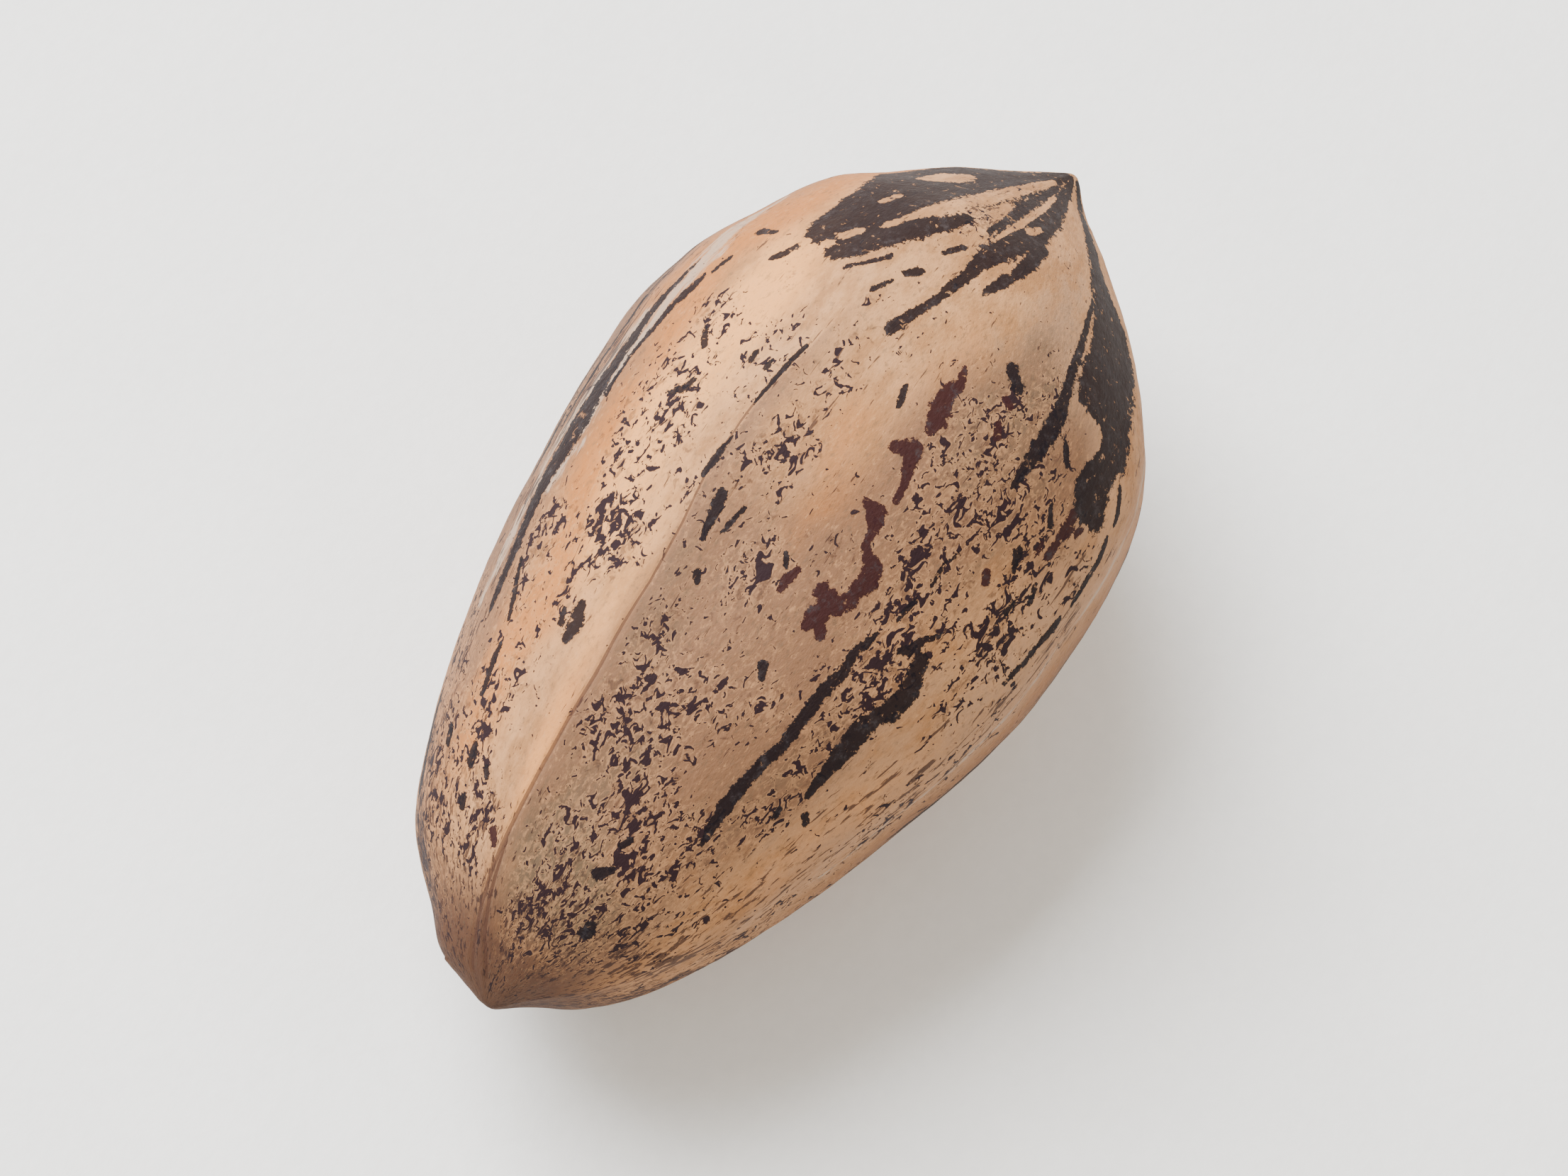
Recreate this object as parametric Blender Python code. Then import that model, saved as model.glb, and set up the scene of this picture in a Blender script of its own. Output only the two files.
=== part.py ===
"""A pecan nut in its shell, lying on a table as it comes to rest by itself.

Metres, +Z up. The nut's tips point along X: the stem end at -X, the sharp tip at +X and a
little raised, because the nut is heavier towards its stem end than its widest place. It
stands on the small flat spot under its belly, at Z = 0, and the origin is under the middle
of its box. The shell grew as one piece, so it is one object.
"""

import math

import bmesh
import bpy
from mathutils import Matrix, Vector

# Driving dimensions, in metres
LENGTH = 0.0450               # from the stem end to the sharp tip
WIDTH = 0.0241                # across the widest place, without the ridges
THICKNESS_TO_WIDTH = 0.960    # the two halves make the nut a little thinner than wide

# Rest
TIP_RAISED = math.radians(5.5)    # slope of the long axis when the nut lies still
FLAT_DEPTH = 0.00025              # how deep the flat spot is pressed into the round belly

# The outline seen from above: share of the length from the stem end, then how far the left
# and the right side reach from the line between the tips, as shares of half the width.
OUTLINE = (
    (0.000, 0.000, 0.000),
    (0.020, 0.205, 0.090),
    (0.055, 0.380, 0.290),
    (0.100, 0.560, 0.440),
    (0.160, 0.690, 0.565),
    (0.240, 0.810, 0.680),
    (0.340, 0.900, 0.815),
    (0.440, 0.960, 0.920),
    (0.540, 1.010, 0.975),
    (0.620, 1.020, 0.985),
    (0.700, 0.980, 0.945),
    (0.770, 0.880, 0.840),
    (0.830, 0.765, 0.670),
    (0.880, 0.570, 0.497),
    (0.925, 0.385, 0.300),
    (0.965, 0.185, 0.115),
    (1.000, 0.000, 0.000),
)
STEM_END_RADIUS = 0.00045     # the stem end is blunt where the stalk broke off
TIP_RADIUS = 0.00020          # the sharp tip is worn a little
NOSE_REACH = 0.0011           # the length over which this rounding fades out

# Blunt ridges run from tip to tip, four strong ones and a faint one on the left side. Each
# row is an angle in degrees round the long axis, from the top of the nut towards its left
# side, and a height.
RIDGES = (
    (21.5, 0.00030),
    (66.0, 0.00013),
    (118.0, 0.00030),
    (-146.0, 0.00022),
    (-61.0, 0.00030),
)
RIDGE_HALF_WIDTH = math.radians(7.5)
RIDGE_RUN_OUT = 0.0040        # length over which a ridge rises from each tip
RIDGE_TWIST = math.radians(10.0)  # how far the ridges turn to the left at the stem end
TWIST_REACH = 0.0075          # the length over which this twist fades out
SQUARENESS = 0.00012          # how far four corners stand out of a round section
CORNER_ANGLE = math.radians(28.0)

# Low swellings and hollows of the shell between the ridges
SWELLING = 0.00014
SWELLINGS_ALONG = 2.6         # waves from tip to tip
SWELLINGS_ROUND = 3           # waves round the nut
SWELLING_PHASE = 0.9

# Fineness of the mesh
SEGMENTS_ROUND = 72
RINGS_ALONG = 58
EVEN_RINGS = 0.35             # 0 crowds the rings at the tips as on a sphere, 1 spaces them evenly

# Material
SHELL_COLOUR = (0.47, 0.285, 0.165, 1.0)
SHELL_ROUGHNESS = 0.62


def clear_scene():
    """Remove every object that the file opened with."""
    for obj in list(bpy.data.objects):
        bpy.data.objects.remove(obj, do_unlink=True)


def shell_material():
    """Tan, matt nutshell."""
    material = bpy.data.materials.new("shell")
    material.use_nodes = True
    surface = material.node_tree.nodes["Principled BSDF"]
    surface.inputs["Base Color"].default_value = SHELL_COLOUR
    surface.inputs["Roughness"].default_value = SHELL_ROUGHNESS
    surface.inputs["Metallic"].default_value = 0.0
    return material


def end_safe_slope(places, values, i):
    """Slope of the outline at station i that keeps the curve from overshooting it."""
    if i in (0, len(places) - 1):
        a, b = (0, 1) if i == 0 else (i - 1, i)
        return (values[b] - values[a]) / (places[b] - places[a])
    before, after = places[i] - places[i - 1], places[i + 1] - places[i]
    rise = (values[i] - values[i - 1]) / before
    fall = (values[i + 1] - values[i]) / after
    if rise * fall <= 0:
        return 0.0
    heavy, light = 2 * after + before, after + 2 * before
    return (heavy + light) / (heavy / rise + light / fall)


def smooth_curve(places, values):
    """A smooth function through the stations, with no wiggle between them."""
    slopes = [end_safe_slope(places, values, i) for i in range(len(places))]

    def height(place):
        i = max(0, min(len(places) - 2, sum(p <= place for p in places) - 1))
        step = places[i + 1] - places[i]
        s = (place - places[i]) / step
        return ((2 * s**3 - 3 * s**2 + 1) * values[i]
                + (s**3 - 2 * s**2 + s) * step * slopes[i]
                + (3 * s**2 - 2 * s**3) * values[i + 1]
                + (s**3 - s**2) * step * slopes[i + 1])

    return height


PLACES = [row[0] for row in OUTLINE]
LEFT_SHARE = smooth_curve(PLACES, [row[1] for row in OUTLINE])
RIGHT_SHARE = smooth_curve(PLACES, [row[2] for row in OUTLINE])


def rounded_end(reach, place):
    """Widen the outline near either end so that the end is a round nose and not a point."""
    squared = reach**2
    for from_end, radius in ((place, STEM_END_RADIUS), (1 - place, TIP_RADIUS)):
        distance = from_end * LENGTH
        squared += 2 * radius * distance * math.exp(-distance / NOSE_REACH)
    return math.sqrt(squared)


def section_radius(place, angle):
    """Radius of the plain section, an oval whose two sides may differ."""
    left = rounded_end(LEFT_SHARE(place) * WIDTH / 2, place)
    right = rounded_end(RIGHT_SHARE(place) * WIDTH / 2, place)
    half_height = (left + right) / 2 * THICKNESS_TO_WIDTH
    side = left if math.sin(angle) > 0 else right
    if side == 0 or half_height == 0:
        return 0.0
    return 1 / math.hypot(math.sin(angle) / side, math.cos(angle) / half_height)


def turn_between(a, b):
    """The angle from b to a, from -pi to pi."""
    return (a - b + math.pi) % (2 * math.pi) - math.pi


def relief(place, angle):
    """How far the ridges and swellings lift the shell from its plain section."""
    from_tips = min(place, 1 - place) * LENGTH
    rise = 1 - math.exp(-from_tips / RIDGE_RUN_OUT)
    turned = angle - RIDGE_TWIST * math.exp(-place * LENGTH / TWIST_REACH)
    ridge = sum(
        height * math.exp(-(turn_between(turned, math.radians(at)) / RIDGE_HALF_WIDTH) ** 2)
        for at, height in RIDGES
    )
    corners = SQUARENESS * math.cos(4 * (turned - CORNER_ANGLE))
    along = math.sin(2 * math.pi * SWELLINGS_ALONG * place + SWELLING_PHASE)
    swelling = SWELLING * along * math.cos(SWELLINGS_ROUND * angle + 2 * math.pi * place)
    return rise * (ridge + corners + swelling)


def shell_point(place, angle):
    """A point of the shell in the nut's own frame: X along it from the stem end, Z up."""
    radius = section_radius(place, angle)
    if radius > 0:
        radius += relief(place, angle)
    return Vector((place * LENGTH, math.sin(angle) * radius, math.cos(angle) * radius))


def ring_place(polar):
    """Share of the length at which a ring of the unit sphere, this far from its pole, goes."""
    crowded = (1 - math.cos(polar)) / 2
    return EVEN_RINGS * polar / math.pi + (1 - EVEN_RINGS) * crowded


def shape_shell(bm):
    """Turn a unit sphere, its poles on Z, into the nut in its own frame."""
    for vert in bm.verts:
        x, y, z = vert.co
        polar = math.atan2(math.hypot(x, y), -z)
        vert.co = shell_point(ring_place(polar), math.atan2(y, x))


def lay_down(bm):
    """Raise the tip, sink the belly by the flat's depth and centre the nut over the origin."""
    bmesh.ops.transform(bm, matrix=Matrix.Rotation(-TIP_RAISED, 4, "Y"), verts=bm.verts)
    lows = Vector(min(v.co[i] for v in bm.verts) for i in range(3))
    highs = Vector(max(v.co[i] for v in bm.verts) for i in range(3))
    shift = Vector((-(lows.x + highs.x) / 2, -(lows.y + highs.y) / 2, -lows.z - FLAT_DEPTH))
    bmesh.ops.translate(bm, vec=shift, verts=bm.verts)


def press_flat(bm):
    """Cut the belly off at Z = 0 and close the cut with one flat face."""
    everything = bm.verts[:] + bm.edges[:] + bm.faces[:]
    cut = bmesh.ops.bisect_plane(
        bm, geom=everything, plane_co=(0, 0, 0), plane_no=(0, 0, -1), clear_outer=True
    )
    rim = [e for e in cut["geom_cut"] if isinstance(e, bmesh.types.BMEdge)]
    for edge in rim:
        for vert in edge.verts:
            vert.co.z = 0.0
    bmesh.ops.edgeloop_fill(bm, edges=rim)
    bmesh.ops.recalc_face_normals(bm, faces=bm.faces[:])


def make_nut(collection):
    """The whole nut as one closed object."""
    bm = bmesh.new()
    bmesh.ops.create_uvsphere(bm, u_segments=SEGMENTS_ROUND, v_segments=RINGS_ALONG, radius=1.0)
    shape_shell(bm)
    lay_down(bm)
    press_flat(bm)
    mesh = bpy.data.meshes.new("pecan_in_shell")
    bm.to_mesh(mesh)
    bm.free()
    mesh.shade_smooth()
    mesh.materials.append(shell_material())
    nut = bpy.data.objects.new("pecan_in_shell", mesh)
    collection.objects.link(nut)


def main():
    clear_scene()
    collection = bpy.data.collections.new("pecan_in_shell")
    bpy.context.scene.collection.children.link(collection)
    make_nut(collection)


main()
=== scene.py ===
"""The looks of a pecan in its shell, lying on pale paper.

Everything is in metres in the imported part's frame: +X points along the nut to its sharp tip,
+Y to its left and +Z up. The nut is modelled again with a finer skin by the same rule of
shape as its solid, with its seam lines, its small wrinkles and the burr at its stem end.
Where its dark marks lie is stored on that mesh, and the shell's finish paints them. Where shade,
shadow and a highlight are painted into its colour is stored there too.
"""

import logging
import math
from dataclasses import dataclass, field, replace
from enum import Enum
from typing import Any, Union

import bpy
import numpy as np
from mathutils import Matrix, Vector


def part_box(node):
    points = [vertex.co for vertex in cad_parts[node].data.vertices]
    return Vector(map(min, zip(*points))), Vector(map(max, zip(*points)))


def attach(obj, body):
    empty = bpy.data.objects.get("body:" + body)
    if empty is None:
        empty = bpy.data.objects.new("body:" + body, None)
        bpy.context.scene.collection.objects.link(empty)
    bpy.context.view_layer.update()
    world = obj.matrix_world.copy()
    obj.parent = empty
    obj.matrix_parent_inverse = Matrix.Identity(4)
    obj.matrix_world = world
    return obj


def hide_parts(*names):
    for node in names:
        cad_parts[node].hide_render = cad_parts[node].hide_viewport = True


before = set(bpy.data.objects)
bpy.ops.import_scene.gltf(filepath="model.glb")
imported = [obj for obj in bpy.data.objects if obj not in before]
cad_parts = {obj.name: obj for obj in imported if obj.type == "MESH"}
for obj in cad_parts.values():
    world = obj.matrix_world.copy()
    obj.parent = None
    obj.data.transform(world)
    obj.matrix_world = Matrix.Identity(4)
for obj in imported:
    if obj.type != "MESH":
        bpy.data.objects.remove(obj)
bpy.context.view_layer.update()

LOG = logging.getLogger("pecan")
NODE = "pecan_in_shell"
MM = 0.001
RUN_SAMPLES = 2001
PLACE_SAMPLES = 4001
ANGLE_SAMPLES = 3601
Pair = tuple[float, float]
Triple = tuple[float, float, float]
Colour = tuple[float, float, float, float]


def linear(red: int, green: int, blue: int) -> Colour:
    """Turn a colour as seen on a screen into the one that shaders take.

    Args:
        red: Red, from 0 to 255.
        green: Green, from 0 to 255.
        blue: Blue, from 0 to 255.

    Returns:
        The linear colour with full alpha.
    """
    shares = (part / 255 for part in (red, green, blue))
    return (*(s / 12.92 if s <= 0.04045 else ((s + 0.055) / 1.055) ** 2.4 for s in shares), 1.0)


def turn_between(a: np.ndarray, b: Union[np.ndarray, float]) -> np.ndarray:
    """Give the angle from b to a in radians, from -pi to pi."""
    return (a - b + math.pi) % (2 * math.pi) - math.pi


def smooth_curve(places: np.ndarray, values: np.ndarray, at: np.ndarray) -> np.ndarray:
    """Read a smooth curve that goes through the given stations and never overshoots them.

    Args:
        places: Where the stations are, rising.
        values: The curve's value at each station.
        at: Where to read the curve.

    Returns:
        The curve's value at each place in at.
    """
    steps = np.diff(places)
    rises = np.diff(values) / steps
    slopes = np.zeros(len(places))
    slopes[0], slopes[-1] = rises[0], rises[-1]
    turning = rises[:-1] * rises[1:] <= 0
    heavy, light = 2 * steps[1:] + steps[:-1], steps[1:] + 2 * steps[:-1]
    safe = [np.where(turning, 1.0, r) for r in (rises[:-1], rises[1:])]
    slopes[1:-1] = np.where(turning, 0.0, (heavy + light) / (heavy / safe[0] + light / safe[1]))
    i = np.clip(np.searchsorted(places, at, side="right") - 1, 0, len(steps) - 1)
    s = (at - places[i]) / steps[i]
    return (
        (2 * s**3 - 3 * s**2 + 1) * values[i]
        + (s**3 - 2 * s**2 + s) * steps[i] * slopes[i]
        + (3 * s**2 - 2 * s**3) * values[i + 1]
        + (s**3 - s**2) * steps[i] * slopes[i + 1]
    )


@dataclass(frozen=True)
class Ridge:
    """One blunt ridge from tip to tip.

    Attributes:
        round_deg: Where it runs, in degrees round the nut from its top towards its left.
        height: How far it stands out of the shell.
    """

    round_deg: float
    height: float


@dataclass(frozen=True)
class ShellForm:
    """The nut's form: the rule and the driving dimensions of its solid.

    Attributes:
        length: From the stem end to the sharp tip.
        width: Across the widest place, without the ridges.
        thickness_to_width: Thickness as a share of the width.
        tip_raised: Slope of the long axis as the nut lies.
        outline: Share of the length, then how far the left and the right side reach from the
            line between the tips, as shares of half the width.
        stem_end_radius: Radius of the blunt stem end.
        tip_radius: Radius of the sharp tip.
        nose_reach: Length over which the rounding of the ends fades out.
        ridges: The blunt ridges.
        ridge_half_width: Half-width of a ridge.
        ridge_run_out: Length over which the ridges rise from each tip.
        ridge_twist: How far the ridges turn to the left at the stem end.
        twist_reach: Length over which this twist fades out.
        squareness: How far four corners stand out of a round section.
        corner_angle: Where the first of these corners is.
        swelling: Height of the low swellings between the ridges.
        swellings_along: Waves of the swellings from tip to tip.
        swellings_round: Waves of the swellings round the nut.
        swelling_phase: Where along the nut the waves start.
    """

    length: float = 0.0450
    width: float = 0.0241
    thickness_to_width: float = 0.960
    tip_raised: float = math.radians(5.5)
    outline: tuple[Triple, ...] = (
        (0.000, 0.000, 0.000),
        (0.020, 0.205, 0.090),
        (0.055, 0.380, 0.290),
        (0.100, 0.560, 0.440),
        (0.160, 0.690, 0.565),
        (0.240, 0.810, 0.680),
        (0.340, 0.900, 0.815),
        (0.440, 0.960, 0.920),
        (0.540, 1.010, 0.975),
        (0.620, 1.020, 0.985),
        (0.700, 0.980, 0.945),
        (0.770, 0.880, 0.840),
        (0.830, 0.765, 0.670),
        (0.880, 0.570, 0.497),
        (0.925, 0.385, 0.300),
        (0.965, 0.185, 0.115),
        (1.000, 0.000, 0.000),
    )
    stem_end_radius: float = 0.00045
    tip_radius: float = 0.00020
    nose_reach: float = 0.0011
    ridges: tuple[Ridge, ...] = (
        Ridge(21.5, 0.00030),
        Ridge(66.0, 0.00013),
        Ridge(118.0, 0.00030),
        Ridge(-146.0, 0.00022),
        Ridge(-61.0, 0.00030),
    )
    ridge_half_width: float = math.radians(7.5)
    ridge_run_out: float = 0.0040
    ridge_twist: float = math.radians(10.0)
    twist_reach: float = 0.0075
    squareness: float = 0.00012
    corner_angle: float = math.radians(28.0)
    swelling: float = 0.00014
    swellings_along: float = 2.6
    swellings_round: int = 3
    swelling_phase: float = 0.9

    def side_reach(self, place: np.ndarray, side: int) -> np.ndarray:
        """Give how far one side of the plain outline reaches from the line between the tips.

        Args:
            place: Share of the length from the stem end.
            side: 1 for the left side or 2 for the right side.

        Returns:
            The reach at each place.
        """
        rows = np.array(self.outline)
        squared = (smooth_curve(rows[:, 0], rows[:, side], place) * self.width / 2) ** 2
        for from_end, radius in ((place, self.stem_end_radius), (1 - place, self.tip_radius)):
            distance = from_end * self.length
            squared = squared + 2 * radius * distance * np.exp(-distance / self.nose_reach)
        return np.sqrt(squared)

    def mean_radius(self, place: np.ndarray) -> np.ndarray:
        """Give the mean radius of the plain section at each place."""
        half_width = (self.side_reach(place, 1) + self.side_reach(place, 2)) / 2
        return half_width * (1 + self.thickness_to_width) / 2

    def section_radius(self, place: np.ndarray, angle: np.ndarray) -> np.ndarray:
        """Give the radius of the plain section, an oval whose two sides may differ."""
        left, right = self.side_reach(place, 1), self.side_reach(place, 2)
        half_height = np.maximum((left + right) / 2 * self.thickness_to_width, 1e-9)
        side = np.maximum(np.where(np.sin(angle) > 0, left, right), 1e-9)
        return 1 / np.hypot(np.sin(angle) / side, np.cos(angle) / half_height)

    def twist(self, place: np.ndarray) -> np.ndarray:
        """Give how far the ridges have turned to the left at each place."""
        return self.ridge_twist * np.exp(-place * self.length / self.twist_reach)

    def relief(self, place: np.ndarray, angle: np.ndarray) -> np.ndarray:
        """Give how far the ridges and swellings lift the shell from its plain section."""
        from_tips = np.minimum(place, 1 - place) * self.length
        rise = 1 - np.exp(-from_tips / self.ridge_run_out)
        turned = angle - self.twist(place)
        lift = self.squareness * np.cos(4 * (turned - self.corner_angle))
        for ridge in self.ridges:
            away = turn_between(turned, math.radians(ridge.round_deg))
            lift += ridge.height * np.exp(-((away / self.ridge_half_width) ** 2))
        along = np.sin(2 * math.pi * self.swellings_along * place + self.swelling_phase)
        waves = np.cos(self.swellings_round * angle + 2 * math.pi * place)
        return rise * (lift + self.swelling * along * waves)

    def run_length(self, place: np.ndarray) -> np.ndarray:
        """Give the length along the shell from the stem end to each place."""
        shares = np.linspace(0, 1, RUN_SAMPLES)
        radii = self.mean_radius(shares)
        steps = np.hypot(np.diff(shares) * self.length, np.diff(radii))
        return np.interp(place, shares, np.concatenate([[0], np.cumsum(steps)]))


class Mark(Enum):
    """The kinds of marks that the shell carries, by the name of their attribute."""

    DARK = "dark"
    RUSTY = "rusty"
    FREE = "free"
    SEAM = "seam"
    BLOOM = "bloom"


class Zone(Enum):
    """What may be stronger in one region of the shell, by the name of its attribute. Some zones
    hold painted shade, painted shadow or a painted highlight.
    """

    FLECKS = "flecks"
    SCRATCHES = "scratches"
    WARMTH = "warmth"
    MOSS = "moss"
    # Darker, browner tone: partly the shell's own colour, partly painted shade and painted shadow.
    DEEP_TONE_AND_SHADE = "deep"
    ASH = "ash"
    # Painted highlight: a brighter, more orange colour where the light falls most, chiefly the
    # main light's sheen on the left face.
    LIGHT = "light"
    # Dark warm brown: the stem end's own colour, and painted shadow along the left rim where the
    # nuts beside it shade it.
    STEM_BROWN_AND_SHADOW = "stem"


@dataclass(frozen=True)
class Stroke:
    """A mark drawn along the shell.

    Attributes:
        mark: Its kind.
        points: Millimetres along the nut from the stem end, degrees round it from its top
            towards its left, and half the mark's width in millimetres.
    """

    mark: Mark
    points: tuple[Triple, ...]

    def turned(self, by_deg: float) -> "Stroke":
        """Give the same stroke, turned round the nut."""
        points = tuple((along, place + by_deg, half) for along, place, half in self.points)
        return Stroke(self.mark, points)


@dataclass(frozen=True)
class Patch:
    """A region where something is stronger or weaker, fading out softly.

    Attributes:
        zone: What it changes.
        along: Its middle, in millimetres from the stem end.
        round_deg: Its middle, in degrees round the nut.
        half_length: Half its length in millimetres.
        half_turn: Half its width in degrees.
        strength: What it adds at its middle.
    """

    zone: Zone
    along: float
    round_deg: float
    half_length: float
    half_turn: float
    strength: float

    def turned(self, by_deg: float) -> "Patch":
        """Give the same patch, turned round the nut."""
        return replace(self, round_deg=self.round_deg + by_deg)


def strokes_of(mark: Mark, *paths: tuple[Triple, ...]) -> tuple[Stroke, ...]:
    """Give the strokes of one kind, from the points of each."""
    return tuple(Stroke(mark, path) for path in paths)


def patches_of(zone: Zone, *rows: tuple[float, ...]) -> tuple[Patch, ...]:
    """Give the patches of one zone, from a row of the other attributes for each."""
    return tuple(Patch(zone, *row) for row in rows)


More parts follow.
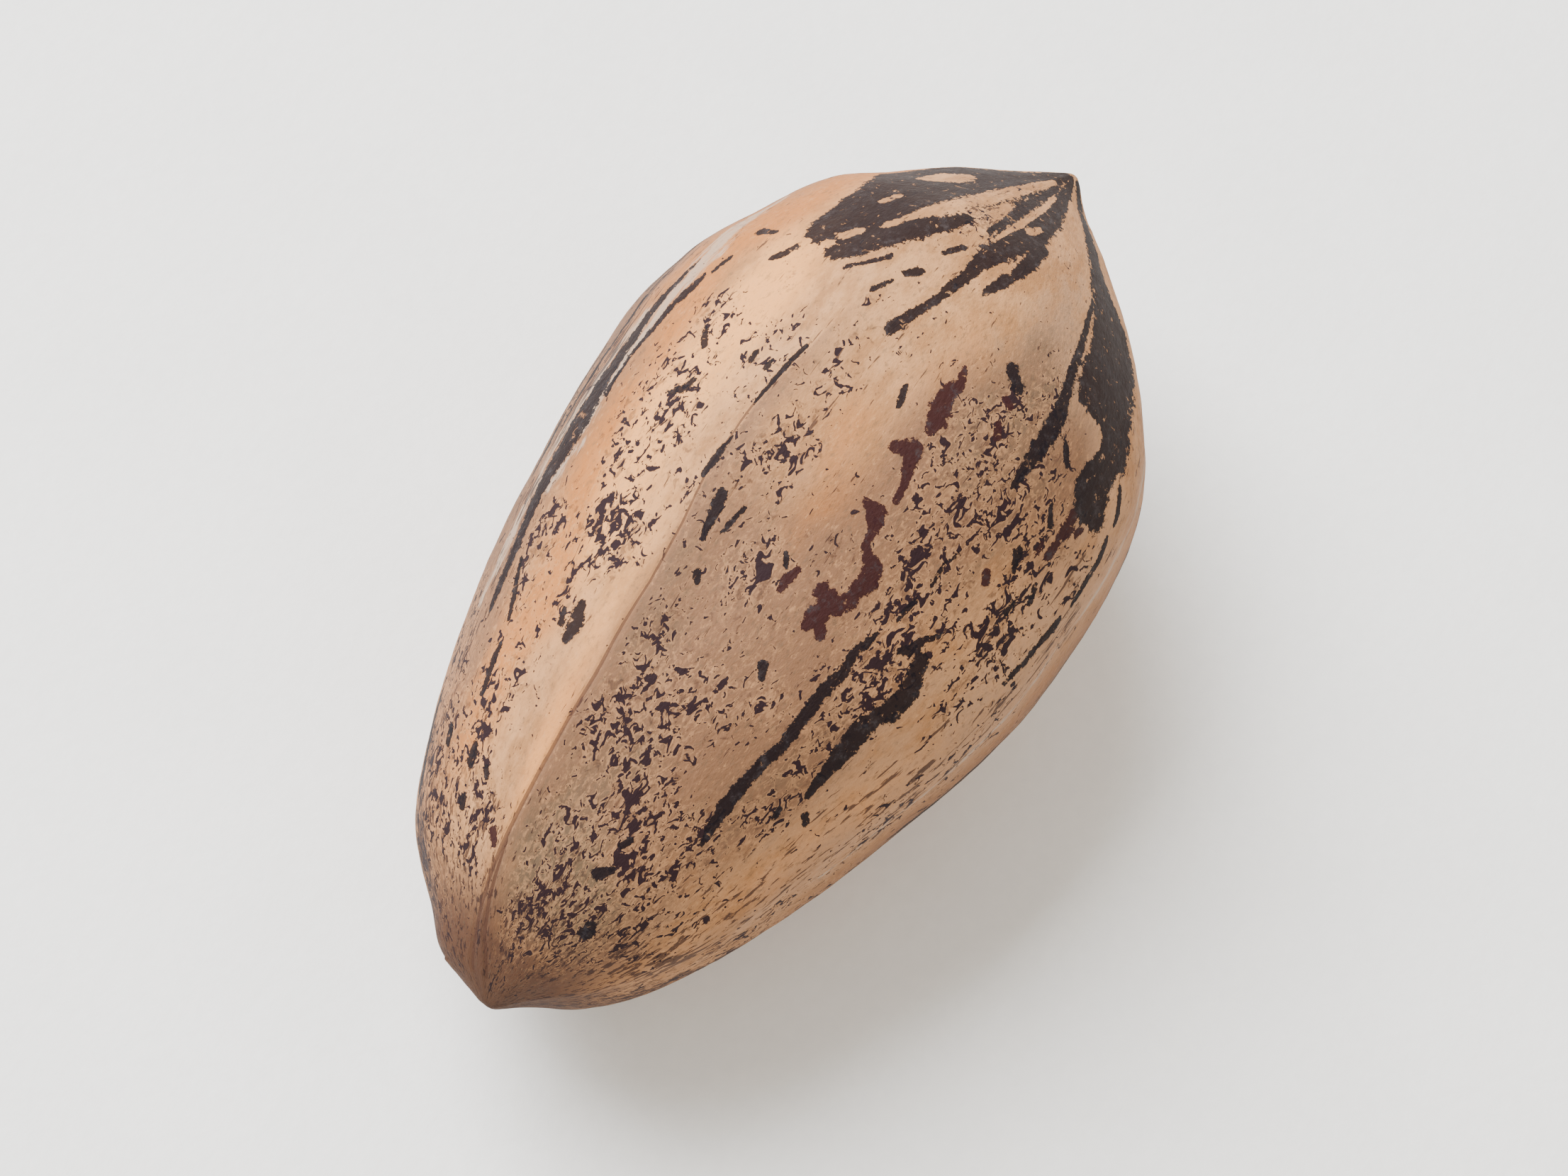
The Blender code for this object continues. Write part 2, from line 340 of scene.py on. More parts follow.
SEEN_STROKES = (
    # The big blot beside the tip: its body, its top, its prongs and the tan left free in it
    *strokes_of(
        Mark.DARK,
        ((33.3, 39, 0.5), (33.9, 37, 1.4), (34.8, 35, 1.9), (35.8, 33.5, 2.3), (36.8, 33, 2.1),
         (37.8, 35, 1.9)),
        ((37.3, 37, 2), (39, 39, 2.6), (40.3, 38, 2.4), (41.6, 36, 1.9), (43, 34, 1),
         (44.5, 30, 0.35)),
        ((34.4, 27, 0.9), (35.2, 22.5, 0.58), (36.3, 19, 0.42), (37.6, 16, 0.3)),
        ((32.6, 32, 0.5), (33.2, 28, 0.41), (34, 25, 0.29)),
        ((32.1, 27, 0.15), (32.7, 24, 0.13), (33.6, 21, 0.11)),
        ((35.2, 13, 0.12), (36.1, 10.5, 0.16)),
        ((33.2, 16.3, 0.18), (33.8, 14, 0.22)),
        ((31.7, 18.9, 0.11), (32.6, 17, 0.11)),
    ),
    *strokes_of(
        Mark.FREE,
        ((39.3, 44.5, 0.5), (40, 43.2, 0.8), (40.6, 41.8, 0.45)),
        ((35.8, 26.5, 0.18), (36.8, 24, 0.42), (38, 21.2, 0.48), (39.8, 19.5, 0.42),
         (41.2, 18.5, 0.34), (42.6, 18, 0.24), (43.6, 17, 0.14)),
        ((35, 28.4, 0.2), (35.5, 27, 0.22)),
        ((33.6, 34.3, 0.24), (34.2, 32.2, 0.26)),
        ((32.9, 36.5, 0.2), (33, 34.8, 0.2)),
        ((36.2, 37, 0.15), (37, 36, 0.18)),
    ),
    # The streaks that run together at the tip
    *strokes_of(
        Mark.DARK,
        ((30.7, 10.8, 0.32), (31.5, 9.5, 0.27), (32.5, 7.8, 0.22), (33.3, 6.8, 0.23),
         (34.4, 6, 0.26), (35.4, 5, 0.34)),
        ((35.6, 5, 0.35), (36.8, 3.2, 0.62), (38.3, 0.8, 0.9), (39.8, -2.2, 0.8),
         (41.4, -4.5, 0.62), (43.1, -6, 0.4), (44.4, -6, 0.2)),
        ((34.7, -0.6, 0.15), (35.8, -2.8, 0.31), (37.3, -5.8, 0.43), (38.8, -8, 0.34)),
        ((37.6, 9.2, 0.12), (39.3, 8.2, 0.23), (41, 8, 0.27), (43.3, 7, 0.22)),
    ),
    *strokes_of(
        Mark.FREE,
        ((36.1, 0.8, 0.22), (36.5, -1.2, 0.28)),
        ((39.2, -0.2, 0.18), (39.8, -2.8, 0.2)),
        ((37.4, 6.4, 0.1), (39.2, 4.2, 0.16), (41, 2, 0.16), (42.6, 1, 0.12)),
    ),
    # The streaks on the right shoulder
    *strokes_of(
        Mark.DARK,
        ((44.6, -42, 0.2), (43.6, -42, 0.3), (42.1, -40, 0.45), (40.4, -40.5, 0.7),
         (39.2, -43.2, 1.15), (38.3, -46, 1.6), (36.9, -45.8, 1.8), (35.5, -44.6, 1.9),
         (34.6, -45, 1.75), (33.9, -48.5, 1.3), (33.1, -50.2, 0.95), (32.2, -49.2, 0.75)),
        ((33.9, -35.5, 0.3), (34.6, -37, 0.8), (35.2, -39, 1.2)),
        ((32, -47.5, 0.85), (31.1, -47.2, 1.15), (30.5, -48.8, 1), (30.2, -52.4, 0.6)),
        ((38.6, -33.5, 0.12), (37.2, -31.3, 0.17), (35.9, -30.5, 0.24), (34.5, -30, 0.27),
         (33.2, -30.2, 0.3), (31.8, -30.2, 0.47), (30.7, -29.8, 0.45), (29.5, -29.2, 0.27),
         (28.4, -28.8, 0.17)),
        ((31.6, -34.8, 0.14), (30.9, -37.8, 0.22)),
        ((32.5, -15.6, 0.38), (32, -18.2, 0.4)),
        ((29.1, -39, 0.12), (28.4, -41.6, 0.2)),
        ((26.6, -39, 0.24), (25.9, -41, 0.19)),
        ((26.2, -48, 0.15), (25.5, -49.6, 0.2)),
        ((24.9, -46, 0.17), (24.3, -45.8, 0.14)),
        ((32.2, -55, 0.12), (31.2, -57.6, 0.16), (30.8, -58, 0.12)),
        ((30.1, -58, 0.12), (29.4, -59, 0.15), (28, -59.2, 0.15), (26.9, -60, 0.12)),
        ((26.1, -59.2, 0.17), (25.4, -59, 0.22), (24.6, -58.4, 0.15)),
        ((24.4, -58.2, 0.16), (23.5, -58, 0.18), (22.3, -57.2, 0.12)),
    ),
    *strokes_of(
        Mark.FREE,
        ((33.2, -38.8, 0.42), (33, -41.6, 0.52)),
    ),
    *strokes_of(
        Mark.RUSTY,
        ((31.2, -17, 0.2), (31.1, -19, 0.2)),
        ((30.1, -19, 0.15), (29.6, -20, 0.19)),
        ((29.4, -46, 0.32), (28.7, -46.3, 0.38), (28.3, -45.4, 0.2)),
        ((29.4, -50, 0.22), (29, -49.2, 0.18)),
        ((28, -46.4, 0.24), (27.5, -46, 0.28)),
        ((27.6, -42.6, 0.13), (27.1, -43, 0.19)),
    ),
    # The beaded trail down the middle
    *strokes_of(
        Mark.RUSTY,
        ((31.1, -6.8, 0.15), (30.5, -7.8, 0.26), (29.5, -6.8, 0.44), (28.7, -7.3, 0.56),
         (27.9, -7.8, 0.21)),
        ((26.5, -3.6, 0.2), (26.9, -7.3, 0.42), (26.2, -8.8, 0.29), (25.5, -10, 0.16),
         (24.7, -10.6, 0.16)),
        ((24, -5.4, 0.18), (23.8, -9, 0.44), (23.3, -10.4, 0.26), (22.8, -10.6, 0.14),
         (22.3, -11.9, 0.22)),
        ((22.3, -11.9, 0.22), (22.1, -15.2, 0.34), (21.5, -16, 0.53), (20.9, -15.3, 0.33),
         (20.4, -15.8, 0.32), (19.9, -13.8, 0.46), (20, -9.8, 0.41)),
        ((20, -12.6, 0.42), (19.1, -11.6, 0.52), (18.5, -11.2, 0.22)),
        ((19.1, -11.6, 0.3), (18.6, -15, 0.24)),
    ),
    # The streaks on the stem half
    *strokes_of(
        Mark.DARK,
        ((18.9, -23.8, 0.18), (18, -24.1, 0.26), (17, -23.3, 0.31), (16.1, -23.5, 0.28),
         (15, -24.2, 0.3), (14.2, -24.8, 0.3), (13.3, -23.8, 0.35), (12.4, -24, 0.31),
         (11.3, -24, 0.36), (10.3, -25.5, 0.27), (9.3, -27.4, 0.1)),
        ((20.1, -24.8, 0.12), (19.3, -24, 0.21), (18.7, -22.8, 0.14)),
        ((20.4, -36.6, 0.38), (19.2, -39.4, 0.5), (18.2, -39.2, 0.5), (17.6, -37.2, 0.36),
         (16.7, -37, 0.46), (15.7, -37.6, 0.43), (14.8, -38.3, 0.34), (13.5, -40, 0.15)),
        ((20.1, -31, 0.13), (20.6, -33.4, 0.23), (21.1, -33.8, 0.18), (21.8, -36.5, 0.11)),
        ((21, -26.4, 0.1), (21.7, -26.5, 0.17), (22.3, -27, 0.1)),
        ((23, -27.5, 0.11), (24.1, -27, 0.09), (24.8, -28.3, 0.12)),
        ((20.4, 1.6, 0.15), (20, 0, 0.15)),
        ((21, 19.6, 0.2), (20.4, 19, 0.3), (19.6, 18.8, 0.17), (19, 18, 0.11)),
        ((21, 14.3, 0.11), (20.1, 15.2, 0.13), (19.6, 15.6, 0.08)),
        ((14.5, 36.4, 0.22), (13.7, 35.5, 0.38), (13, 35.9, 0.25)),
        ((14, 40.2, 0.14), (13.4, 39.6, 0.15)),
        ((6, -7, 0.32), (6.4, -10.2, 0.22)),
        ((4, -18.8, 0.33), (4.4, -17.8, 0.2)),
        ((7.4, -7.8, 0.16), (7.8, -9, 0.14)),
        ((7.1, 51.6, 0.27), (7.7, 51.2, 0.22)),
        ((16.3, -8.2, 0.21), (15.8, -10.2, 0.15)),
        ((12.9, -44.2, 0.2), (12.7, -46.6, 0.14)),
        ((12.4, -36.8, 0.15), (12, -37.8, 0.15)),
        ((17.8, 15.5, 0.16), (17.5, 14.5, 0.15)),
        ((31.2, 44, 0.16), (31.7, 41.8, 0.22), (32.3, 40.8, 0.16)),
        ((32.5, 54.2, 0.26), (32.6, 50.3, 0.18)),
        ((24.8, 40.2, 0.12), (24.2, 41.2, 0.28), (23.8, 44, 0.13)),
        ((27.1, 46.3, 0.14), (26.3, 43.2, 0.15)),
        ((26.5, 31, 0.18), (27, 31, 0.12)),
        ((26.4, 26.5, 0.16), (26.8, 26.5, 0.12)),
        ((28, 0, 0.14), (28.9, 1.2, 0.15)),
    ),
    *strokes_of(
        Mark.RUSTY,
        ((20.1, -2.3, 0.24), (19.6, -1.5, 0.34), (19.1, -1.5, 0.2)),
        ((5.2, 34, 0.22), (4.8, 32, 0.15)),
        ((25, -35.8, 0.22), (24.7, -37.2, 0.22)),
    ),
    # The broken dark line on the crack of the middle ridge
    *strokes_of(
        Mark.DARK,
        ((21.2, 25.2, 0.1), (22.1, 24.8, 0.19), (23.2, 24.1, 0.09)),
        ((24.8, 24.1, 0.07), (26.8, 23, 0.11), (28.1, 22.1, 0.09)),
    ),
    # The dusty dark band along the left ridge and the thin lines on both sides of it
    *strokes_of(
        Mark.DARK,
        ((13, 66, 0.14), (14, 66, 0.24), (15, 66, 0.28), (16.2, 66, 0.34), (17.6, 66.4, 0.4),
         (19.2, 66.6, 0.56), (20.8, 66.2, 0.74), (22, 66, 0.76), (23, 66, 0.64),
         (24.2, 66.6, 0.46), (25.6, 66.4, 0.46), (27, 66, 0.36), (29, 64.4, 0.2), (30.4, 64, 0.1)),
        ((30.4, 75, 0.1), (28.8, 76.4, 0.17), (27.2, 76, 0.2), (25.4, 77.2, 0.22),
         (23.4, 76, 0.18), (21.8, 76.4, 0.12)),
        ((23, 61.5, 0.12), (25, 62.5, 0.14), (26.8, 60.8, 0.16), (27.8, 60, 0.24),
         (28.8, 58.4, 0.26), (29.6, 58, 0.15)),
        ((29.8, 56.4, 0.12), (30.8, 55, 0.14)),
        ((34, 72, 0.12), (33, 75, 0.14), (31.6, 77, 0.17), (30.2, 79, 0.17), (29, 81, 0.15)),
        ((19.4, 80, 0.16), (20.8, 81, 0.3), (22.4, 81, 0.17)),
        ((23, 83, 0.2), (24.4, 84, 0.34), (26.2, 85, 0.18)),
        ((15.4, 62, 0.12), (14, 59, 0.14), (12.8, 56.5, 0.11)),
        ((11.8, 55.4, 0.14), (11.1, 55.6, 0.17), (10.2, 55, 0.14), (9.7, 55, 0.12)),
        ((5.9, 51, 0.2), (5.5, 50.5, 0.18)),
        ((7.2, 44.5, 0.14), (6.9, 43.5, 0.15)),
        ((8.2, 65, 0.15), (7.5, 65, 0.17)),
    ),
)

SIDE_STROKES = (
    # A forked streak from the tip down the left side
    *strokes_of(
        Mark.DARK,
        ((44.4, 78, 0.2), (42.4, 81, 0.42), (40.6, 85, 0.75), (39, 87, 0.6), (37.2, 90, 0.95),
         (35.6, 92, 0.7), (34.2, 93, 1.05), (32.6, 96, 0.7), (31, 96, 0.85), (29.2, 98, 0.45),
         (27, 98, 0.5), (24.6, 100, 0.16)),
        ((36.6, 94, 0.5), (34.6, 99, 0.4), (33, 101, 0.32), (30.6, 103, 0.15)),
        ((38.4, 83, 0.3), (36.2, 83, 0.34), (34.2, 84, 0.14)),
        ((22.8, 100, 0.14), (21.6, 101, 0.22), (20.6, 101, 0.12)),
        ((9.8, 84, 0.18), (8.2, 86, 0.36), (6.8, 84, 0.3), (5.6, 86, 0.18)),
    ),
    *strokes_of(
        Mark.RUSTY,
        ((19.6, 92, 0.18), (18, 93, 0.42), (17, 92, 0.28), (15.6, 93, 0.4), (14.6, 92, 0.14)),
        ((13.4, 92, 0.16), (12.2, 93, 0.3), (11, 93, 0.14)),
    ),
    # Streaks down the right side
    *strokes_of(
        Mark.DARK,
        ((41, -76, 0.3), (39, -79, 0.55), (37.2, -79, 0.48), (35.4, -82, 0.8), (33.4, -82, 0.66),
         (31.8, -85, 0.78), (29.8, -84, 0.42), (28, -87, 0.4), (26, -87, 0.15)),
        ((33.6, -86, 0.4), (31.4, -90, 0.34), (29.6, -91, 0.14)),
        ((43.8, -95, 0.2), (41.4, -97, 0.4), (39.6, -96, 0.34), (37.6, -99, 0.56),
         (35.6, -98, 0.36), (33.4, -99, 0.16)),
        ((22, -82, 0.15), (20.4, -84, 0.34), (18.8, -83, 0.28), (17.2, -85, 0.44),
         (15.4, -84, 0.15)),
        ((14, -98, 0.16), (12.2, -99, 0.36), (10.6, -98, 0.26), (8.6, -99, 0.16)),
    ),
    *strokes_of(
        Mark.RUSTY,
        ((24, -95, 0.2), (22.6, -97, 0.42), (21.4, -95, 0.3), (20.4, -96, 0.18)),
    ),
)

SEAM_STROKES = (
    *strokes_of(
        Mark.SEAM,
        ((0.7, 42, 0.05), (2, 36, 0.08), (3.2, 31.5, 0.09), (4.5, 29, 0.09), (5.8, 27.3, 0.08),
         (7.2, 26, 0.08), (8.9, 24.8, 0.07), (10.6, 24, 0.07), (12.3, 23.4, 0.07),
         (14.4, 23.6, 0.06), (16.5, 23.2, 0.05), (19.1, 23.7, 0.05), (21.4, 24.9, 0.05),
         (24.9, 24.1, 0.05), (28, 21.9, 0.04), (31, 20.5, 0.01)),
        ((0.7, 22, 0.05), (1.9, 29, 0.08), (3.1, 28.6, 0.08), (4.2, 27.4, 0.06),
         (5.2, 27.1, 0.04)),
        ((0.7, -137, 0.07), (7, -142, 0.08), (20, -145, 0.06), (33, -146, 0.03)),
    ),
)

BLOOM_STROKES = (
    *strokes_of(
        Mark.BLOOM,
        ((13.4, 75, 0.25), (15, 73, 0.45), (16.6, 71.5, 0.48), (18.4, 71.8, 0.45),
         (20.2, 72.5, 0.42), (21.6, 71.5, 0.35), (23.6, 69.8, 0.36), (25.6, 70.5, 0.4),
         (27.2, 68.5, 0.4)),
        ((18.4, 63.4, 0.2), (19.6, 62.4, 0.24), (20.8, 60.5, 0.2)),
        ((21.3, 62.6, 0.22), (23.2, 62.4, 0.2), (24.6, 63.2, 0.26), (26.2, 62.8, 0.28),
         (27.6, 63, 0.38), (29.2, 62, 0.5), (30.8, 62, 0.62), (32.5, 64, 0.5), (34, 66, 0.34),
         (35.4, 68, 0.18)),
        ((12, -70, 0.1), (20, -68, 0.2), (28, -68, 0.2), (34, -68, 0.2), (38.5, -66, 0.1)),
        ((9, 118, 0.3), (22, 119, 0.7), (34, 118, 0.3)),
    ),
)

SEEN_PATCHES = (
    # Crowds of flecks, from the stem end to the tip
    *patches_of(
        Zone.FLECKS,
        (10, 3, 2.4, 12, 0.6), (11.8, 11, 1.6, 7, 0.6), (13.9, 2, 1.2, 6, 0.8),
        (15.3, -15, 1.2, 6, 0.8), (8.7, -19, 1.6, 10, 0.8), (6.2, 6, 1.6, 15, 0.8),
        (6, -32, 2.2, 16, 0.65), (3.4, -5, 1.6, 30, 0.5), (5.8, 48, 1.6, 12, 0.9),
        (7.6, 53, 1.6, 11, 0.75), (10.8, 47, 1.1, 6, 0.7), (4.5, 66, 2.5, 14, 0.6),
        (17.8, 36, 1.8, 7, 0.9), (16.4, 58, 2, 5, 0.6), (21.2, 43, 1.5, 8, 0.95),
        (24.2, 43, 1.2, 6, 0.85), (26.8, 30, 1.5, 6, 0.9), (28.5, 45, 1.4, 6, 0.6),
        (29.2, 27, 1, 4, 0.5), (18.9, 6, 1, 5, 0.8), (19.9, 3, 1, 4, 0.6),
        (23.5, 15, 1.2, 5, 0.55), (27.4, 13, 1, 4, 0.45), (30.6, 5, 0.9, 3, 0.55),
        (27, -15, 1.2, 6, 0.9), (29.4, -16, 1, 5, 0.75), (31.6, -20, 1.2, 5, 0.55),
        (28, -34, 1.3, 6, 0.75), (25.4, -24, 1.4, 5, 0.6), (23.6, -21, 1.2, 4, 0.65),
        (22.6, -30, 1.5, 5, 0.6), (18.6, -31, 1.6, 5, 0.95), (19.8, -51, 1.4, 5, 0.7),
        (23.5, -45, 2.2, 7, 0.45), (14.7, -32, 1.3, 5, 0.9), (11.6, -38, 1.3, 7, 0.65),
        (15, -67, 2.2, 6, 1), (19, -64, 1.6, 5, 0.8), (10, -70, 2.2, 9, 0.8),
        (37.5, 14, 2, 4, 0.8), (41.5, 12, 1.8, 6, 0.8), (38.5, -14, 1.5, 4, 0.55),
    ),
    # Everywhere on the stem half
    *patches_of(
        Zone.FLECKS,
        (9, 0, 13, 75, 0.46), (24, 0, 8, 75, 0.38), (8.4, 64, 2.8, 16, 0.5),
        (5.6, 50, 2.4, 14, 0.3), (11.5, 80, 3.5, 8, 1), (6, 86, 4, 13, 1), (15.5, 56, 2.5, 6, 0.6),
        (22, 82, 4, 8, 0.6), (23.5, -54, 2.4, 8, 0.6), (27.5, -36, 2, 8, 0.35),
        (12.6, 16, 2.2, 5, 0.5), (28.8, -15, 3.5, 11, 0.5), (33, -26, 3, 8, 0.55),
        (28.6, -44, 2.2, 7, 0.4), (5, 4, 2.4, 14, 0.4), (24, 46, 9, 10, 0.3),
        (21, -28, 11, 14, 0.16),
    ),
    # Clean places
    *patches_of(
        Zone.FLECKS,
        (27, 2, 4, 8, -0.55), (22.5, -2, 1.6, 5, -0.6), (35.5, -12, 4.5, 9, -0.7),
        (30.8, 36, 2.4, 9, -0.6), (34, 52, 4, 12, -0.7), (8.5, 27, 6.5, 5, -0.8),
        (14, 31, 2.5, 6, -0.45), (16, -17, 2.6, 5, -0.55), (11.4, -14, 1.6, 8, -0.45),
        (11.5, -48, 3, 7, -0.4), (17, -49, 2.5, 4, -0.4), (20, 54, 3, 4, -0.4),
    ),
    *patches_of(
        Zone.SCRATCHES,
        (3.5, 0, 4, 200, 0.6), (11, -58, 9, 14, 0.8), (22, -64, 12, 8, 0.8), (22, 72, 13, 8, 1.3),
        (39, 14, 3.5, 9, 0.7), (6, 84, 5, 9, 1),
    ),
    *patches_of(
        Zone.WARMTH,
        (21.7, -2, 2.4, 8, 0.9), (17.5, -15, 3, 9, 0.8), (9.4, 27, 5, 6, 0.6),
        (9.5, 53, 3.5, 9, 0.8), (24.5, 56, 6, 7, 1.1), (34.5, 60, 3.5, 16, 1),
        # The broad patch along the left rim at 80 degrees is painted shadow, redder where the nuts
        # beside it shade it; the other patches are the shell's own orange.
        (15.4, 46, 3.5, 7, 0.7), (21, 80, 16, 14, 1), (11, 64, 8, 9, 0.6), (26, 6, 2.5, 8, 0.6),
        (25.3, -20, 2.5, 6, 0.5), (12, -56, 8, 10, 0.3), (32, -5, 2.5, 7, 0.4),
        (22.5, -8, 5, 6, 0.5), (8, -52, 5, 13, 0.18), (21, 51, 6, 6, 0.5), (36, 70, 7, 11, 0.8),
    ),
    # Painted highlight: brighter, more orange places where the light falls most, chiefly the main
    # light's broad sheen on the left face.
    *patches_of(
        Zone.LIGHT,
        (17.5, 39, 2.5, 5, 0.5), (22.6, 42, 5, 8, 1), (30, 39, 4, 9, 1), (24.5, 17, 2.5, 4, 0.5),
        (8, 27, 3, 4, 0.6), (16, 29, 5, 5, 0.5), (15.8, -56, 2.5, 7, 0.35),
    ),
    *patches_of(
        Zone.ASH,
        (31, -40, 2.5, 8, 0.9), (12, -64, 9, 16, 0.6), (26, -58, 9, 16, 0.7),
        (34, -24, 4.5, 11, 0.9), (14.5, -33, 4.5, 10, 1), (4.5, -25, 3, 20, 0.6),
    ),
    # Darker, browner tone: partly the shell's own colour, partly painted shade right of the middle
    # ridge, which faces away from the light, and painted shadow along the left rim at 82 degrees,
    # where the nuts beside it shade it.
    *patches_of(
        Zone.DEEP_TONE_AND_SHADE,
        (31, -39, 2.5, 7, 0.7), (7, 14, 3, 8, 0.6), (13.5, 15, 3.5, 6, 0.5),
        (24.2, 58, 3.5, 6, 0.3), (36, 68, 3.5, 12, 0.3), (13.2, -34, 2.5, 6, 0.7),
        (3.6, -33, 2.5, 20, 0.7), (9, -8, 6, 26, 0.85), (17.5, -10, 6, 27, 1),
        (25.5, -24, 3.5, 14, 0.75), (16, 14, 6, 7, 0.5), (32, -25, 4.5, 13, 0.55),
        (28.5, -16, 3.5, 12, 0.65), (28.5, -44, 2.5, 9, 0.5), (21, 82, 17, 15, 1),
        (12, 66, 8, 9, 0.5), (2.2, 48, 2.2, 50, 0.6), (26, -8, 6, 8, 0.4), (12, -33, 6, 8, 0.35),
        (31.5, -20, 5, 7, 0.35), (20, 62, 12, 5, 0.3),
    ),
    *patches_of(
        Zone.MOSS,
        (10.5, 4, 2.6, 9, 0.55), (4.4, -8, 2.2, 22, 1), (15, 15, 3, 5, 0.45),
        (8.5, 13, 2.5, 7, 0.35), (17, 21, 6, 3, 0.35), (33, -24, 4.5, 12, 0.55),
        (5, 8, 2.6, 18, 0.8), (28.5, -17, 3.5, 10, 0.35), (9.5, -26, 4, 8, 0.3),
        (15, -31, 6, 8, 0.3), (25.5, -33, 5, 7, 0.3),
    ),
    # Painted shadow: dark warm brown along the left rim, where the nuts beside it shade it.
    *patches_of(
        Zone.STEM_BROWN_AND_SHADOW,
        (24, 81, 14, 8, 0.5), (37, 78, 6, 12, 0.35),
    ),
)

# The stem end's own darker brown.
STEM_PATCH = Patch(Zone.STEM_BROWN_AND_SHADOW, -0.4, 0, 3.2, 2000, 1.5)


